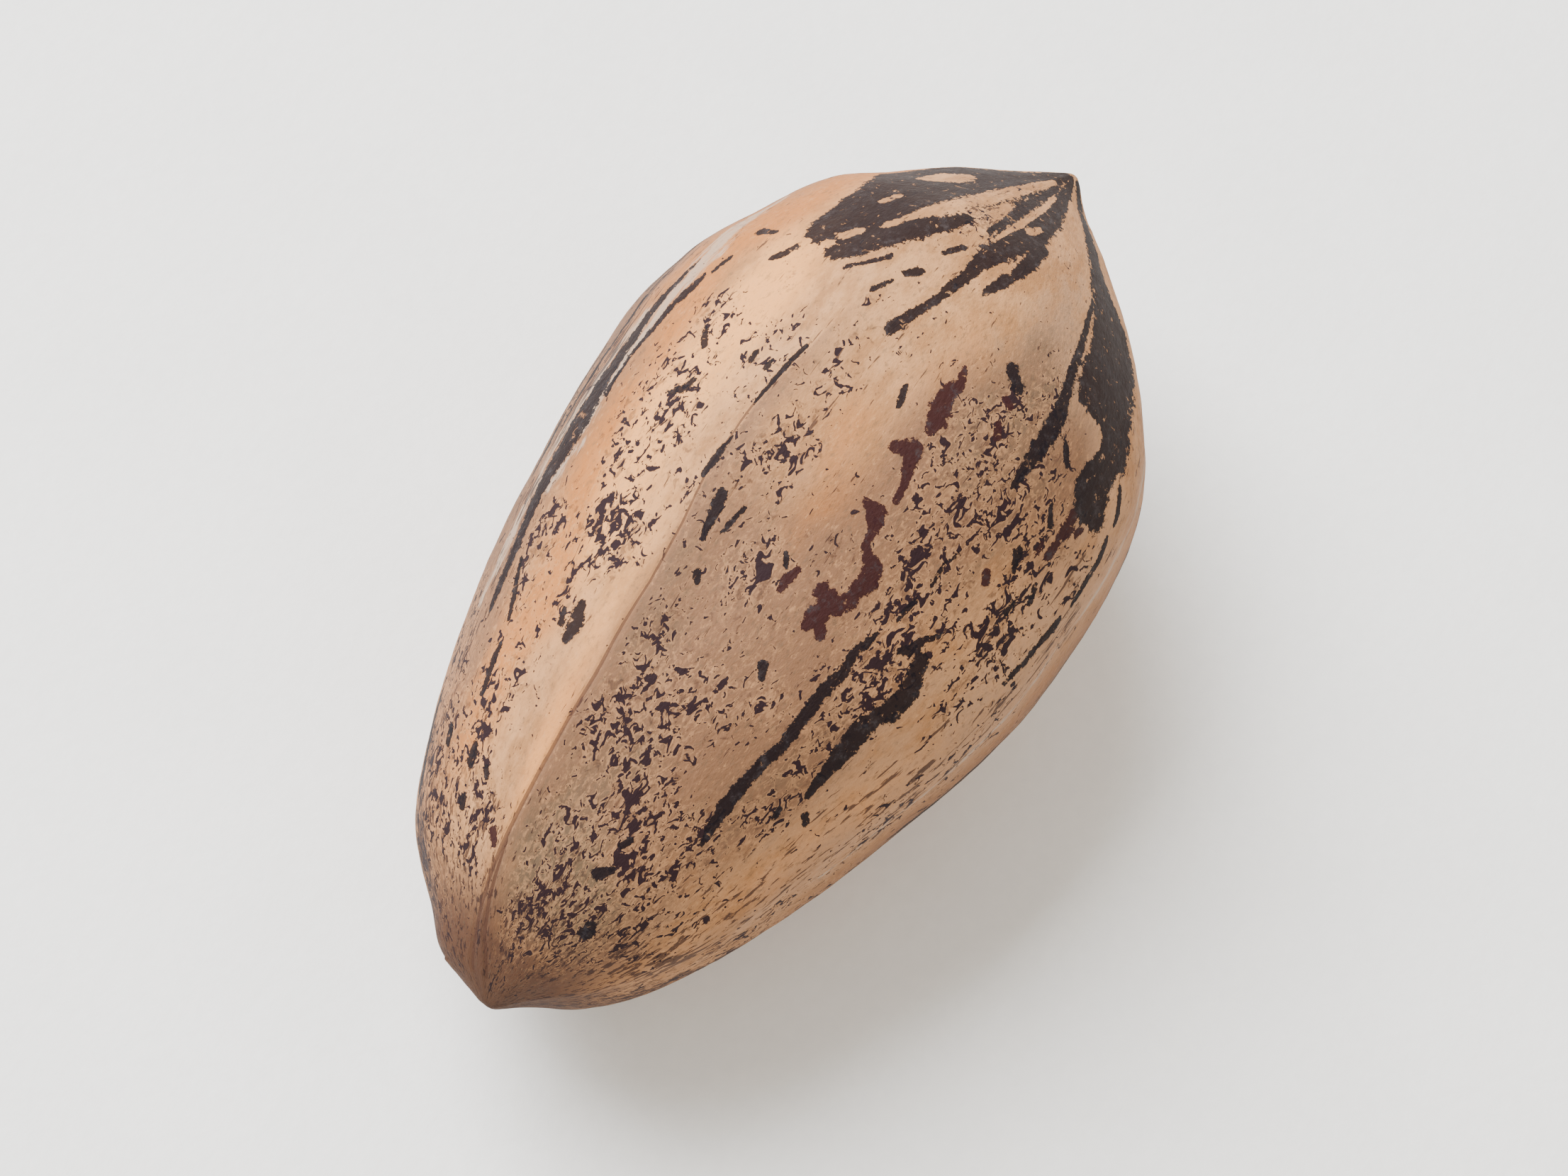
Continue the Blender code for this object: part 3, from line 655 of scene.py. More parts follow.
@dataclass
class NutShell:
    """The whole nut: its fine skin and what its finish reads from it.

    Attributes:
        form: The rule of shape, the same as the solid's.
        columns: Faces round the nut.
        rings: Faces from tip to tip.
        seam_angles: Where columns stand closer, in degrees round the nut.
        seam_crowding: How much closer they stand there.
        seam_reach: How far from the seam, in degrees.
        groove_depth: Depth of the seam's groove.
        groove_reach: How far it reaches beyond the seam's line, as the seam's field.
        heel_place: Millimetres along and degrees round of the stem end's blunt side.
        heel_height: How far it stands out.
        heel_length: Half its length.
        burr_place: Millimetres along and degrees round of the burr at the stem end.
        burr_height: How far the burr stands out.
        burr_radius: Its radius.
        wrinkle_sizes: Size of each layer of wrinkles and how high it stands.
        grain_stretch: How many times longer than wide the shell's grain is.
        far_side_deg: Degrees round the nut from a seen mark to its like on the far side.
        steadiness: How much steadier the edges of a narrow mark are than those of a wide one.
        steady_width: Half-width in millimetres from which on the edges aren't steadier.
        far_outside: The marks' field where no mark is near.
        least_radius: The nut's least radius where distances round it are measured.
        crest_height: Height of the sharp crest on the middle ridge.
        crest_reach: How far it reaches to each side, in degrees.
        crest_end: Where it ends, in millimetres from the stem end.
        crest_fade: The length in millimetres over which it fades out there.
        lee_edge: How soft the edge of the strip of painted shade beside that crest is, in degrees.
            The strip faces away from the light.
        lee_reach: How far this strip reaches.
        lee_strength: How dark it is, as the strength of a patch.
        grain_girth: What the grain's girth takes from the nut's own radius. The rest of it is
            the same along the whole nut, so that the grain isn't too fine at the tips.
    """

    form: ShellForm = field(default_factory=ShellForm)
    columns: int = 404
    rings: int = 242
    seam_angles: tuple[float, ...] = (21.5, -146.0)
    seam_crowding: float = 1.8
    seam_reach: float = 5.0
    groove_depth: float = 0.05 * MM
    groove_reach: float = 0.55
    heel_place: Pair = (0.7, 84.0)
    heel_height: float = 0.42 * MM
    heel_length: float = 0.9 * MM
    burr_place: Pair = (0.6, 90.0)
    burr_height: float = 0.26 * MM
    burr_radius: float = 0.20 * MM
    wrinkle_sizes: tuple[Pair, ...] = ((2.6 * MM, 0.10 * MM), (0.7 * MM, 0.035 * MM))
    grain_stretch: float = 1.8
    far_side_deg: float = 190.5
    steadiness: float = 0.85
    steady_width: float = 0.7
    far_outside: float = -9.0
    least_radius: float = 0.05 * MM
    crest_height: float = 0.08 * MM
    crest_reach: float = 4.5
    crest_end: float = 33.0
    crest_fade: float = 7.0
    lee_edge: float = 0.8
    lee_reach: float = 7.5
    lee_strength: float = 0.85
    grain_girth: float = 0.55

    def build(self) -> bpy.types.Object:
        """Model the nut, store its marks and dress it.

        Returns:
            The finished nut, in place.
        """
        nut = self.start_as_ball()
        self.shape(nut)
        self.wrinkle(nut)
        self.settle(nut)
        self.store_marks(nut)
        nut.data.materials.append(ShellFinish().material())
        return nut

    def start_as_ball(self) -> bpy.types.Object:
        """Add a ball as long as the nut, its poles where the nut's tips are."""
        bpy.ops.object.select_all(action="DESELECT")
        bpy.ops.mesh.primitive_uv_sphere_add(
            segments=self.columns,
            ring_count=self.rings,
            radius=self.form.length / 2,
            location=(0, 0, self.form.width / 2),
            rotation=(0, math.pi / 2, 0),
        )
        ball = bpy.context.active_object
        ball.name = "pecan_skin"
        bpy.ops.object.transform_apply(location=True, rotation=True, scale=True)
        return ball

    def column_angles(self, even: np.ndarray) -> np.ndarray:
        """Move evenly spread angles so that columns stand closer at the seams."""
        angles = np.linspace(-math.pi, math.pi, ANGLE_SAMPLES)
        crowd = np.ones_like(angles)
        for seam in self.seam_angles:
            away = np.degrees(turn_between(angles, math.radians(seam)))
            crowd += self.seam_crowding * np.exp(-((away / self.seam_reach) ** 2))
        steps = (crowd[1:] + crowd[:-1]) / 2
        share = np.concatenate([[0], np.cumsum(steps)]) / steps.sum()
        return np.interp(even, share * 2 * math.pi - math.pi, angles)

    def shape(self, nut: bpy.types.Object) -> None:
        """Turn the ball into the nut in its own frame, its stem end at the origin.

        Args:
            nut: The ball. Its vertices are moved, and their places on the nut are kept.
        """
        form = self.form
        count = len(nut.data.vertices)
        flat = np.empty(count * 3)
        nut.data.vertices.foreach_get("co", flat)
        ball = flat.reshape(-1, 3) - np.array([0, 0, form.width / 2])
        across = np.hypot(ball[:, 1], ball[:, 2])
        from_stem = np.arctan2(across, -ball[:, 0]) / math.pi
        shares = np.linspace(0, 1, PLACE_SAMPLES)
        runs = form.run_length(shares)
        place = np.interp(from_stem * runs[-1], runs, shares)
        at_pole = across < 1e-7
        place = np.where(at_pole, np.round(place), place)
        angle = self.column_angles(np.arctan2(ball[:, 1], ball[:, 2])) + form.twist(place)
        radius = form.section_radius(place, angle) + form.relief(place, angle)
        self.place, self.angle = place, turn_between(angle, 0.0)
        self.run = form.run_length(place)
        self.radius = form.mean_radius(place)
        radius = radius - self.groove() + self.heel() + self.burr() + self.crest()
        radius = np.where(at_pole, 0.0, radius)
        points = np.stack(
            [place * form.length, np.sin(angle) * radius, np.cos(angle) * radius], axis=-1
        )
        nut.data.vertices.foreach_set("co", points.ravel())
        nut.data.update()

    def groove(self) -> np.ndarray:
        """Give how deep the seams' grooves are at each vertex."""
        inside = self.mark_field(SEAM_STROKES, Mark.SEAM)
        return self.groove_depth * np.exp(-((np.minimum(inside, 0) / self.groove_reach) ** 2))

    def beside_crest(self) -> np.ndarray:
        """Give each vertex's degrees to the right of the middle ridge's line."""
        line = np.array(SEAM_STROKES[0].points)
        line_deg = np.interp(self.place * self.form.length / MM, line[:, 0], line[:, 1])
        return -np.degrees(turn_between(self.angle, np.radians(line_deg)))

    def crest_run(self) -> np.ndarray:
        """Give 1 where the middle ridge's crest is sharp, and 0 near the tip."""
        along = self.place * self.form.length / MM
        return np.clip((self.crest_end - along) / self.crest_fade, 0, 1)

    def crest(self) -> np.ndarray:
        """Give the height of the middle ridge's sharp crest at each vertex."""
        from_tips = np.minimum(self.place, 1 - self.place) * self.form.length
        rise = 1 - np.exp(-((from_tips / self.form.ridge_run_out) ** 2))
        away = np.abs(self.beside_crest())
        return self.crest_height * rise * self.crest_run() * np.exp(-away / self.crest_reach)

    def painted_lee_shade(self) -> np.ndarray:
        """Give how dark the painted shade is at each vertex, in the strip to the right of the
        crest that faces away from the light.
        """
        beside = self.beside_crest()
        strip = np.clip(beside / self.lee_edge, 0, 1) * self.crest_run() * self.lee_strength
        return strip * np.exp(-np.maximum(beside, 0) / self.lee_reach)

    def heel(self) -> np.ndarray:
        """Give how far the stem end's blunt side stands out at each vertex."""
        along, round_deg = self.heel_place
        ahead = (self.place * self.form.length - along * MM) / self.heel_length
        facing = np.maximum(np.cos(turn_between(self.angle, math.radians(round_deg))), 0)
        return self.heel_height * facing**2 * np.exp(-(ahead**2))

    def burr(self) -> np.ndarray:
        """Give how far the burr at the stem end stands out at each vertex."""
        along, round_deg = self.burr_place
        distance = self.distance_to(along, round_deg)
        return self.burr_height * np.exp(-((distance / self.burr_radius) ** 2))

    def distance_to(self, along: float, round_deg: float) -> np.ndarray:
        """Give each vertex's distance along the shell from a place on it.

        Args:
            along: Millimetres from the stem end.
            round_deg: Degrees round the nut.

        Returns:
            The distances in metres.
        """
        run = self.form.run_length(np.array([along * MM / self.form.length]))[0]
        aside = self.radius * turn_between(self.angle, math.radians(round_deg))
        return np.hypot(self.run - run, aside)

    def wrinkle(self, nut: bpy.types.Object) -> None:
        """Give the shell its low wrinkles with displacing modifiers, and apply them."""
        bpy.context.view_layer.objects.active = nut
        for number, (size, height) in enumerate(self.wrinkle_sizes):
            clouds = bpy.data.textures.new(f"wrinkles_{number}", "CLOUDS")
            clouds.noise_scale = size
            clouds.noise_depth = 2
            modifier = nut.modifiers.new(f"wrinkles_{number}", "DISPLACE")
            modifier.texture = clouds
            modifier.texture_coords = "LOCAL"
            modifier.strength = height
            modifier.mid_level = 0.5
            bpy.ops.object.modifier_apply(modifier=modifier.name)

    def settle(self, nut: bpy.types.Object) -> None:
        """Lay the nut down where its solid lies, its belly flat on the paper.

        Args:
            nut: The nut in its own frame.
        """
        nut.data.transform(Matrix.Rotation(-self.form.tip_raised, 4, "Y"))
        flat = np.empty(len(nut.data.vertices) * 3)
        nut.data.vertices.foreach_get("co", flat)
        points = flat.reshape(-1, 3)
        lows, highs = (np.array(corner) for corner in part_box(NODE))
        middle = (points.min(axis=0) + points.max(axis=0)) / 2
        points = points + np.array(
            [(lows[0] + highs[0]) / 2 - middle[0], (lows[1] + highs[1]) / 2 - middle[1],
             highs[2] - points[:, 2].max()]
        )
        points = np.clip(points, lows, highs)
        nut.data.vertices.foreach_set("co", points.ravel())
        nut.data.update()
        bpy.ops.object.shade_smooth()

    def mark_field(self, strokes: tuple[Stroke, ...], mark: Mark) -> np.ndarray:
        """Give how deep inside the nearest stroke each vertex lies.

        Args:
            strokes: The strokes to look at.
            mark: The kind to pick from them.

        Returns:
            Millimetres inside a stroke's edge, negative outside, and more where the stroke is
            narrow, so that its ragged edges don't break it up.
        """
        inside = np.full(len(self.place), self.far_outside)
        radius = np.maximum(self.radius, self.least_radius)
        for stroke in (s for s in strokes if s.mark is mark):
            rows = np.array(stroke.points, float)
            runs = self.form.run_length(rows[:, 0] * MM / self.form.length)
            for (_, turn_a, half_a), (_, turn_b, half_b), run_a, run_b in zip(
                rows[:-1], rows[1:], runs[:-1], runs[1:]
            ):
                aside_a = radius * turn_between(math.radians(turn_a), self.angle)
                aside_b = aside_a + radius * math.radians(turn_b - turn_a)
                ahead_a, ahead_b = run_a - self.run, run_b - self.run
                step = np.stack([ahead_b - ahead_a, aside_b - aside_a])
                share = -(ahead_a * step[0] + aside_a * step[1]) / (step**2).sum(axis=0)
                share = np.clip(share, 0, 1)
                distance = np.hypot(ahead_a + share * step[0], aside_a + share * step[1]) / MM
                half = half_a + share * (half_b - half_a)
                steady = np.minimum(half, self.steady_width) ** self.steadiness
                inside = np.maximum(inside, (half - distance) / steady)
        return inside

    def zone_field(self, zone: Zone) -> np.ndarray:
        """Add up what the patches of one zone give each vertex."""
        total = np.zeros(len(self.place))
        along = self.place * self.form.length / MM
        for patch in (p for p in self.patches() if p.zone is zone):
            ahead = (along - patch.along) / patch.half_length
            aside = np.degrees(turn_between(self.angle, math.radians(patch.round_deg)))
            total += patch.strength * np.exp(-(ahead**2) - (aside / patch.half_turn) ** 2)
        return total

    def strokes(self) -> tuple[Stroke, ...]:
        """Give every stroke, those of the seen side turned to the far side too."""
        far = tuple(stroke.turned(self.far_side_deg) for stroke in SEEN_STROKES)
        return SEEN_STROKES + SIDE_STROKES + SEAM_STROKES + BLOOM_STROKES + far

    def patches(self) -> tuple[Patch, ...]:
        """Give every patch, those of the seen side turned to the far side too."""
        far = tuple(patch.turned(self.far_side_deg) for patch in SEEN_PATCHES)
        return SEEN_PATCHES + far + (STEM_PATCH,)

    def store_marks(self, nut: bpy.types.Object) -> None:
        """Store on the mesh the fields and the grain that the shell's finish reads. Some fields
        hold painted shade, painted shadow or a painted highlight.

        Args:
            nut: The nut, with its vertices in the order in which they were shaped.
        """
        fields = {mark.value: self.mark_field(self.strokes(), mark) for mark in Mark}
        free = fields.pop(Mark.FREE.value)
        for mark in (Mark.DARK, Mark.RUSTY):
            fields[mark.value] = np.minimum(fields[mark.value], -free)
        fields.update({zone.value: self.zone_field(zone) for zone in Zone})
        # Painted shade: the strip right of the middle ridge's crest, which faces away from the
        # light, is darkened in colour.
        fields[Zone.DEEP_TONE_AND_SHADE.value] += self.painted_lee_shade()
        for name, values in fields.items():
            layer = nut.data.attributes.new(name, "FLOAT", "POINT")
            layer.data.foreach_set("value", values.astype(np.float32))
        even = (1 - self.grain_girth) * self.form.width / 2
        girth = (self.grain_girth * self.radius + even) / MM
        grain = np.stack(
            [np.cos(self.angle) * girth, np.sin(self.angle) * girth,
             self.run / MM / self.grain_stretch], axis=-1
        )
        layer = nut.data.attributes.new("grain", "FLOAT_VECTOR", "POINT")
        layer.data.foreach_set("vector", grain.astype(np.float32).ravel())


@dataclass(frozen=True)
class Noise:
    """Soft noise of the shader, about 0.5.

    Attributes:
        size: The size of its largest features in millimetres.
        detail: How many finer layers it has.
        rough: How strong they are.
        swirl: How much it is distorted.
        scale: What the parts of the place are multiplied by before it is read.
        edge: The values at which what it paints starts and is full.
        share: How strong what it paints or moves is.
    """

    size: float
    detail: float
    rough: float
    swirl: float = 0.0
    scale: Triple = (1.0, 1.0, 1.0)
    edge: Pair = (0.0, 1.0)
    share: float = 1.0


@dataclass(frozen=True)
class Wash:
    """A thin colour on the shell, where a field that is stored on the mesh is high.

    Attributes:
        field: That field.
        colour: The colour.
        edge: The field's values at which it starts and is full.
        share: How much it covers where it is full.
        clouds: How much the broad noise adds to the field.
        mottle: How much the finer noise adds.
        fibres: How much the lengthwise noise adds.
    """

    field: Enum
    colour: Colour
    edge: Pair
    share: float
    clouds: float = 0.0
    mottle: float = 0.0
    fibres: float = 0.0


class Signal:
    """A shader socket that takes part in Python expressions.

    Args:
        sheet: The nodes that the socket belongs to.
        socket: The output socket.
    """

    def __init__(self, sheet: "NodeSheet", socket: bpy.types.NodeSocket) -> None:
        self.sheet = sheet
        self.socket = socket

    def math(self, operation: str, *values: Union["Signal", float]) -> "Signal":
        """Add one Math node and return its result."""
        settings = {"operation": operation}
        return self.sheet.node("ShaderNodeMath", settings, dict(enumerate(values)))

    def __add__(self, other: Union["Signal", float]) -> "Signal":
        """Add."""
        return self.math("ADD", self, other)

    def __radd__(self, other: float) -> "Signal":
        """Add to a number."""
        return self.math("ADD", other, self)

    def __sub__(self, other: Union["Signal", float]) -> "Signal":
        """Subtract."""
        return self.math("SUBTRACT", self, other)

    def __rsub__(self, other: float) -> "Signal":
        """Subtract from a number."""
        return self.math("SUBTRACT", other, self)

    def __mul__(self, other: Union["Signal", float]) -> "Signal":
        """Multiply."""
        return self.math("MULTIPLY", self, other)

    def __rmul__(self, other: float) -> "Signal":
        """Multiply a number."""
        return self.math("MULTIPLY", other, self)

    def most(self, other: Union["Signal", float]) -> "Signal":
        """Give the greater of the two."""
        return self.math("MAXIMUM", self, other)

    def least(self, other: Union["Signal", float]) -> "Signal":
        """Give the smaller of the two."""
        return self.math("MINIMUM", self, other)

    def size(self) -> "Signal":
        """Give the value without its sign."""
        return self.math("ABSOLUTE", self)

    def step(self, low: float, high: float) -> "Signal":
        """Rise softly from 0 at low to 1 at high."""
        settings = {"interpolation_type": "SMOOTHSTEP"}
        ranges = {"Value": self, "From Min": low, "From Max": high}
        return self.sheet.node("ShaderNodeMapRange", settings, ranges)


Feed = Union[Signal, float, tuple]


class NodeSheet:
    """The nodes of one material.

    Args:
        name: The material's name.
    """

    def __init__(self, name: str) -> None:
        self.material = bpy.data.materials.new(name)
        self.material.use_nodes = True
        self.tree = self.material.node_tree
        self.surface = self.tree.nodes["Principled BSDF"]

    def node(
        self, kind: str, settings: dict[str, Any], feeds: dict[Any, Feed], output: Any = 0
    ) -> Signal:
        """Add a node.

        Args:
            kind: The node's type.
            settings: Its settings, which are made first.
            feeds: Values or links for its sockets, by their names or numbers.
            output: The name or number of the output to use.

        Returns:
            That output.
        """
        made = self.tree.nodes.new(kind)
        for key, value in settings.items():
            setattr(made, key, value)
        for key, feed in feeds.items():
            self.feed(made.inputs[key], feed)
        return Signal(self, made.outputs[output])

    def feed(self, socket: bpy.types.NodeSocket, feed: Feed) -> None:
        """Link a signal to a socket, or set the socket's value."""
        if isinstance(feed, Signal):
            self.tree.links.new(feed.socket, socket)
        else:
            socket.default_value = feed

    def attribute(self, name: str) -> Signal:
        """Read a number that is stored on the mesh."""
        return self.node("ShaderNodeAttribute", {"attribute_name": name}, {}, "Fac")

    def vector_attribute(self, name: str) -> Signal:
        """Read a vector that is stored on the mesh."""
        return self.node("ShaderNodeAttribute", {"attribute_name": name}, {}, "Vector")

    def millimetres(self) -> Signal:
        """Give the piece's own coordinates in millimetres."""
        here = self.node("ShaderNodeTexCoord", {}, {}, "Object")
        return self.scaled(here, (1000.0, 1000.0, 1000.0))

    def scaled(self, vector: Signal, by: Triple) -> Signal:
        """Multiply a vector's parts, unless nothing would change."""
        if by == (1.0, 1.0, 1.0):
            return vector
        return self.node("ShaderNodeVectorMath", {"operation": "MULTIPLY"}, {0: vector, 1: by})

    def noise(self, at: Signal, noise: Noise) -> Signal:
        """Read noise at a place that is given in millimetres."""
        feeds = {
            "Vector": self.scaled(at, noise.scale), "Scale": 1 / noise.size,
            "Detail": noise.detail, "Roughness": noise.rough, "Distortion": noise.swirl,
        }
        return self.node("ShaderNodeTexNoise", {"noise_dimensions": "3D"}, feeds)

    def mix(self, share: Feed, a: Feed, b: Feed) -> Signal:
        """Mix two colours, the second by the given share."""
        made = self.tree.nodes.new("ShaderNodeMix")
        made.data_type = "RGBA"
        for socket, feed in ((made.inputs[0], share), (made.inputs[6], a), (made.inputs[7], b)):
            self.feed(socket, feed)
        return Signal(self, made.outputs[2])

    def bump(self, height: Signal, distance: float) -> Signal:
        """Turn a height from 0 to 1 into a surface that is rough to the touch."""
        return self.node("ShaderNodeBump", {}, {"Height": height, "Distance": distance}, "Normal")


@dataclass(frozen=True)
class ShellFinish:
    """Tan, matt nutshell with dark flecks, streaks and blots, and with shade, shadow and a
    highlight painted into its colour.

    Attributes:
        tan: The shell's main colour.
        pale: Where it is paler.
        moss: The greenish grey of its stains and pits.
        washes: What is laid over it, in this order. Some of them are painted shade, painted shadow
            or a painted highlight.
        ink: The dark marks.
        rust: The browner dark marks.
        fleck: The small flecks.
        dust: The grey dust on the dark marks.
        crack: The fine line on the ridges' crests.
        roughness: How matt the shell is.
        roughness_range: How much that varies.
        gloss: How much it mirrors, as the shader's specular level.
        relief: Depth of its pores and marks.
        relief_marks: What the marks give to that relief. The pores give the rest.
        pores: Noise of the finest relief.
        clouds: Broad noise of the ground.
        mottle: Finer noise of the ground.
        fibres: Lengthwise noise of the dust on the ridges.
        clouds_share: What the broad noise gives to the ground. The finer one gives the rest.
        ground_edge: Where that noise turns the shell's main colour into the paler one.
        pits: Noise of the small hollows, which are dark where it is low.
        pits_edge: Where it starts and where it is darkest.
        pits_share: How dark the hollows and how pale the places between them are.
        bare_edge: Where the stem's brown, and the painted shadow along the left rim, take that
            paleness away.
        waves: Noise of the bays in the marks' edges.
        teeth: Noise of the fine teeth in the marks' edges.
        marks_edge: Where the field of the marks starts and is full.
        marks_share: How much the marks cover.
        holes: Noise of the bare places in the marks.
        crowds: Noise that gathers the flecks.
        density: How much the patches of flecks do so.
        coarse: Noise of the larger flecks.
        fine: Noise of the smaller flecks.
        faint: Noise of the faint spots.
        faint_density: How much the density of the flecks counts for them.
        halo_edge: Where the paler rings round the flecks start and are full.
        halo_crowd: How many flecks they need round them.
        halo_share: How pale they are.
        lines: Noise of the scratches.
        lines_size: How much the patches of scratches add to it.
        crack_edge: Where the fine line on the crests starts and is full.
        crack_wobble: How much the pores move its edges.
        crack_share: How dark it is.
        rust_edge: Where the ink turns browner.
        rust_share: How much it does.
        dusting: Noise of the grey dust.
        dusting_share: How much of it lies on narrow marks, and how much less on broad ones.
        broad_edge: Where a mark starts to be broad and where it is so.
    """

    tan: Colour = linear(145, 102, 66)
    pale: Colour = linear(176, 130, 90)
    moss: Colour = linear(78, 68, 54)
    washes: tuple[Wash, ...] = (
        Wash(Zone.WARMTH, linear(161, 97, 43), (0.05, 0.95), 0.8, clouds=1.2, mottle=0.7),
        # Painted highlight: the brighter, more orange colour of the light's sheen.
        Wash(Zone.LIGHT, linear(213, 147, 86), (0.05, 0.95), 0.8, clouds=0.6, mottle=0.6),
        Wash(Zone.ASH, linear(157, 122, 94), (0.05, 0.95), 0.9, mottle=1.2),
        # Darker, browner tone, partly the shell's own colour and partly painted shade and painted
        # shadow.
        Wash(Zone.DEEP_TONE_AND_SHADE, linear(115, 83, 61), (0.0, 1.0), 1.0, clouds=0.5, mottle=0.5),
        Wash(Zone.MOSS, moss, (0.05, 1.05), 0.7, mottle=1.3),
        Wash(Mark.BLOOM, linear(160, 140, 122), (-0.25, 0.55), 0.75, mottle=1.6, fibres=4.6),
        # The stem end's own brown, and painted shadow along the left rim.
        Wash(Zone.STEM_BROWN_AND_SHADOW, linear(70, 47, 37), (0.1, 1.0), 0.9, mottle=0.6),
    )
    ink: Colour = linear(22, 16, 20)
    rust: Colour = linear(46, 22, 23)
    fleck: Colour = linear(38, 25, 28)
    dust: Colour = linear(55, 52, 55)
    crack: Colour = linear(70, 46, 36)
    roughness: float = 0.62
    roughness_range: float = 0.3
    gloss: float = 0.07
    relief: float = 0.06 * MM
    relief_marks: float = 0.2
    pores: Noise = Noise(0.20, 4.0, 0.65)
    clouds: Noise = Noise(4.5, 3.0, 0.55)
    mottle: Noise = Noise(1.0, 5.0, 0.65)
    fibres: Noise = Noise(0.9, 4.0, 0.70, 0.2, scale=(3.0, 3.0, 0.40))
    clouds_share: float = 0.4
    ground_edge: Pair = (0.40, 0.62)
    pits: Noise = Noise(0.22, 3.0, 0.7, edge=(0.56, 0.70))
    pits_edge: Pair = (0.47, 0.30)
    pits_share: float = 0.40
    bare_edge: Pair = (0.0, 0.5)
    waves: Noise = Noise(1.4, 3.0, 0.6, scale=(1.9, 1.9, 0.95), share=1.1)
    teeth: Noise = Noise(0.26, 3.0, 0.75, share=1.5)
    marks_edge: Pair = (-0.05, 0.07)
    marks_share: float = 0.97
    holes: Noise = Noise(0.42, 4.0, 0.7, 0.6, edge=(0.62, 0.69), share=0.85)
    crowds: Noise = Noise(1.8, 2.0, 0.5, share=0.3)
    density: float = 0.15
    coarse: Noise = Noise(0.56, 2.5, 0.55, 1.0, (1.0, 1.0, 1.4), (0.715, 0.740))
    fine: Noise = Noise(0.33, 2.0, 0.55, 0.8, (1.0, 1.0, 1.4), (0.725, 0.750))
    faint: Noise = Noise(0.40, 3.0, 0.65, 0.5, (1.0, 1.0, 1.4), (0.65, 0.76), 0.45)
    faint_density: float = 0.8
    halo_edge: Pair = (0.60, 0.70)
    halo_crowd: Pair = (0.03, 0.12)
    halo_share: float = 0.35
    lines: Noise = Noise(0.8, 3.0, 0.6, 0.3, (3.4, 3.4, 0.55), (0.67, 0.72), 0.8)
    lines_size: float = 0.13
    crack_edge: Pair = (-0.10, 0.03)
    crack_wobble: float = 0.15
    crack_share: float = 0.75
    rust_edge: Pair = (-0.3, 0.3)
    rust_share: float = 0.9
    dusting: Noise = Noise(0.6, 5.0, 0.80, edge=(0.50, 0.72))
    dusting_share: Pair = (0.7, 0.5)
    broad_edge: Pair = (0.7, 1.8)

    def material(self) -> bpy.types.Material:
        """Paint the shell.

        Returns:
            The material.
        """
        sheet = NodeSheet("nutshell")
        here = sheet.millimetres()
        grain = sheet.vector_attribute("grain")
        pores = sheet.noise(grain, self.pores)
        marks = self.marks(sheet, here, grain)
        flecks, halo = self.flecks(sheet, grain)
        inks = self.mark_colour(sheet, here)
        colour = self.ground(sheet, here, grain)
        colour = sheet.mix(halo * self.halo_share, colour, self.pale)
        colour = sheet.mix(flecks, colour, self.fleck)
        seam = sheet.attribute(Mark.SEAM.value) + (pores - 0.5) * self.crack_wobble
        colour = sheet.mix(seam.step(*self.crack_edge) * self.crack_share, colour, self.crack)
        colour = sheet.mix(marks * self.marks_share, colour, inks)
        sheet.feed(sheet.surface.inputs["Base Color"], colour)
        matt = self.roughness + (pores - 0.5) * self.roughness_range
        sheet.feed(sheet.surface.inputs["Roughness"], matt)
        sheet.surface.inputs["Specular IOR Level"].default_value = self.gloss
        height = pores * (1 - self.relief_marks) + marks.most(flecks) * self.relief_marks
        sheet.feed(sheet.surface.inputs["Normal"], sheet.bump(height, self.relief))
        return sheet.material

    def ground(self, sheet: NodeSheet, here: Signal, grain: Signal) -> Signal:
        """Mix the colours of the shell between its marks, with the painted shade, shadow and
        highlight that some washes carry.
        """
        clouds = sheet.noise(here, self.clouds)
        mottle = sheet.noise(grain, self.mottle)
        fibres = sheet.noise(grain, self.fibres)
        tone = clouds * self.clouds_share + mottle * (1 - self.clouds_share)
        colour = sheet.mix(tone.step(*self.ground_edge), self.tan, self.pale)
        laid = {}
        for wash in self.washes:
            there = sheet.attribute(wash.field.value)
            parts = (clouds, wash.clouds), (mottle, wash.mottle), (fibres, wash.fibres)
            for noise, part in parts:
                there = there + (noise - 0.5) * part if part else there
            colour = sheet.mix(there.step(*wash.edge) * wash.share, colour, wash.colour)
            laid[wash.field] = there
        pits = sheet.noise(grain, self.pits)
        colour = sheet.mix(pits.step(*self.pits_edge) * self.pits_share, colour, self.moss)
        # The stem's brown, and the painted shadow along the left rim, take away the paleness
        # between the pits.
        bare = self.pits_share - laid[Zone.STEM_BROWN_AND_SHADOW].step(*self.bare_edge) * self.pits_share
        return sheet.mix(pits.step(*self.pits.edge) * bare, colour, self.pale)

    def marks(self, sheet: NodeSheet, here: Signal, grain: Signal) -> Signal:
        """Give 1 on the drawn marks, with ragged edges."""
        ragged = (sheet.noise(grain, self.waves) - 0.5) * self.waves.share
        ragged = ragged + (sheet.noise(here, self.teeth) - 0.5) * self.teeth.share
        drawn = sheet.attribute(Mark.DARK.value).most(sheet.attribute(Mark.RUSTY.value))
        holes = sheet.noise(here, self.holes).step(*self.holes.edge) * self.holes.share
        return (drawn + ragged).step(*self.marks_edge) * (1 - holes)

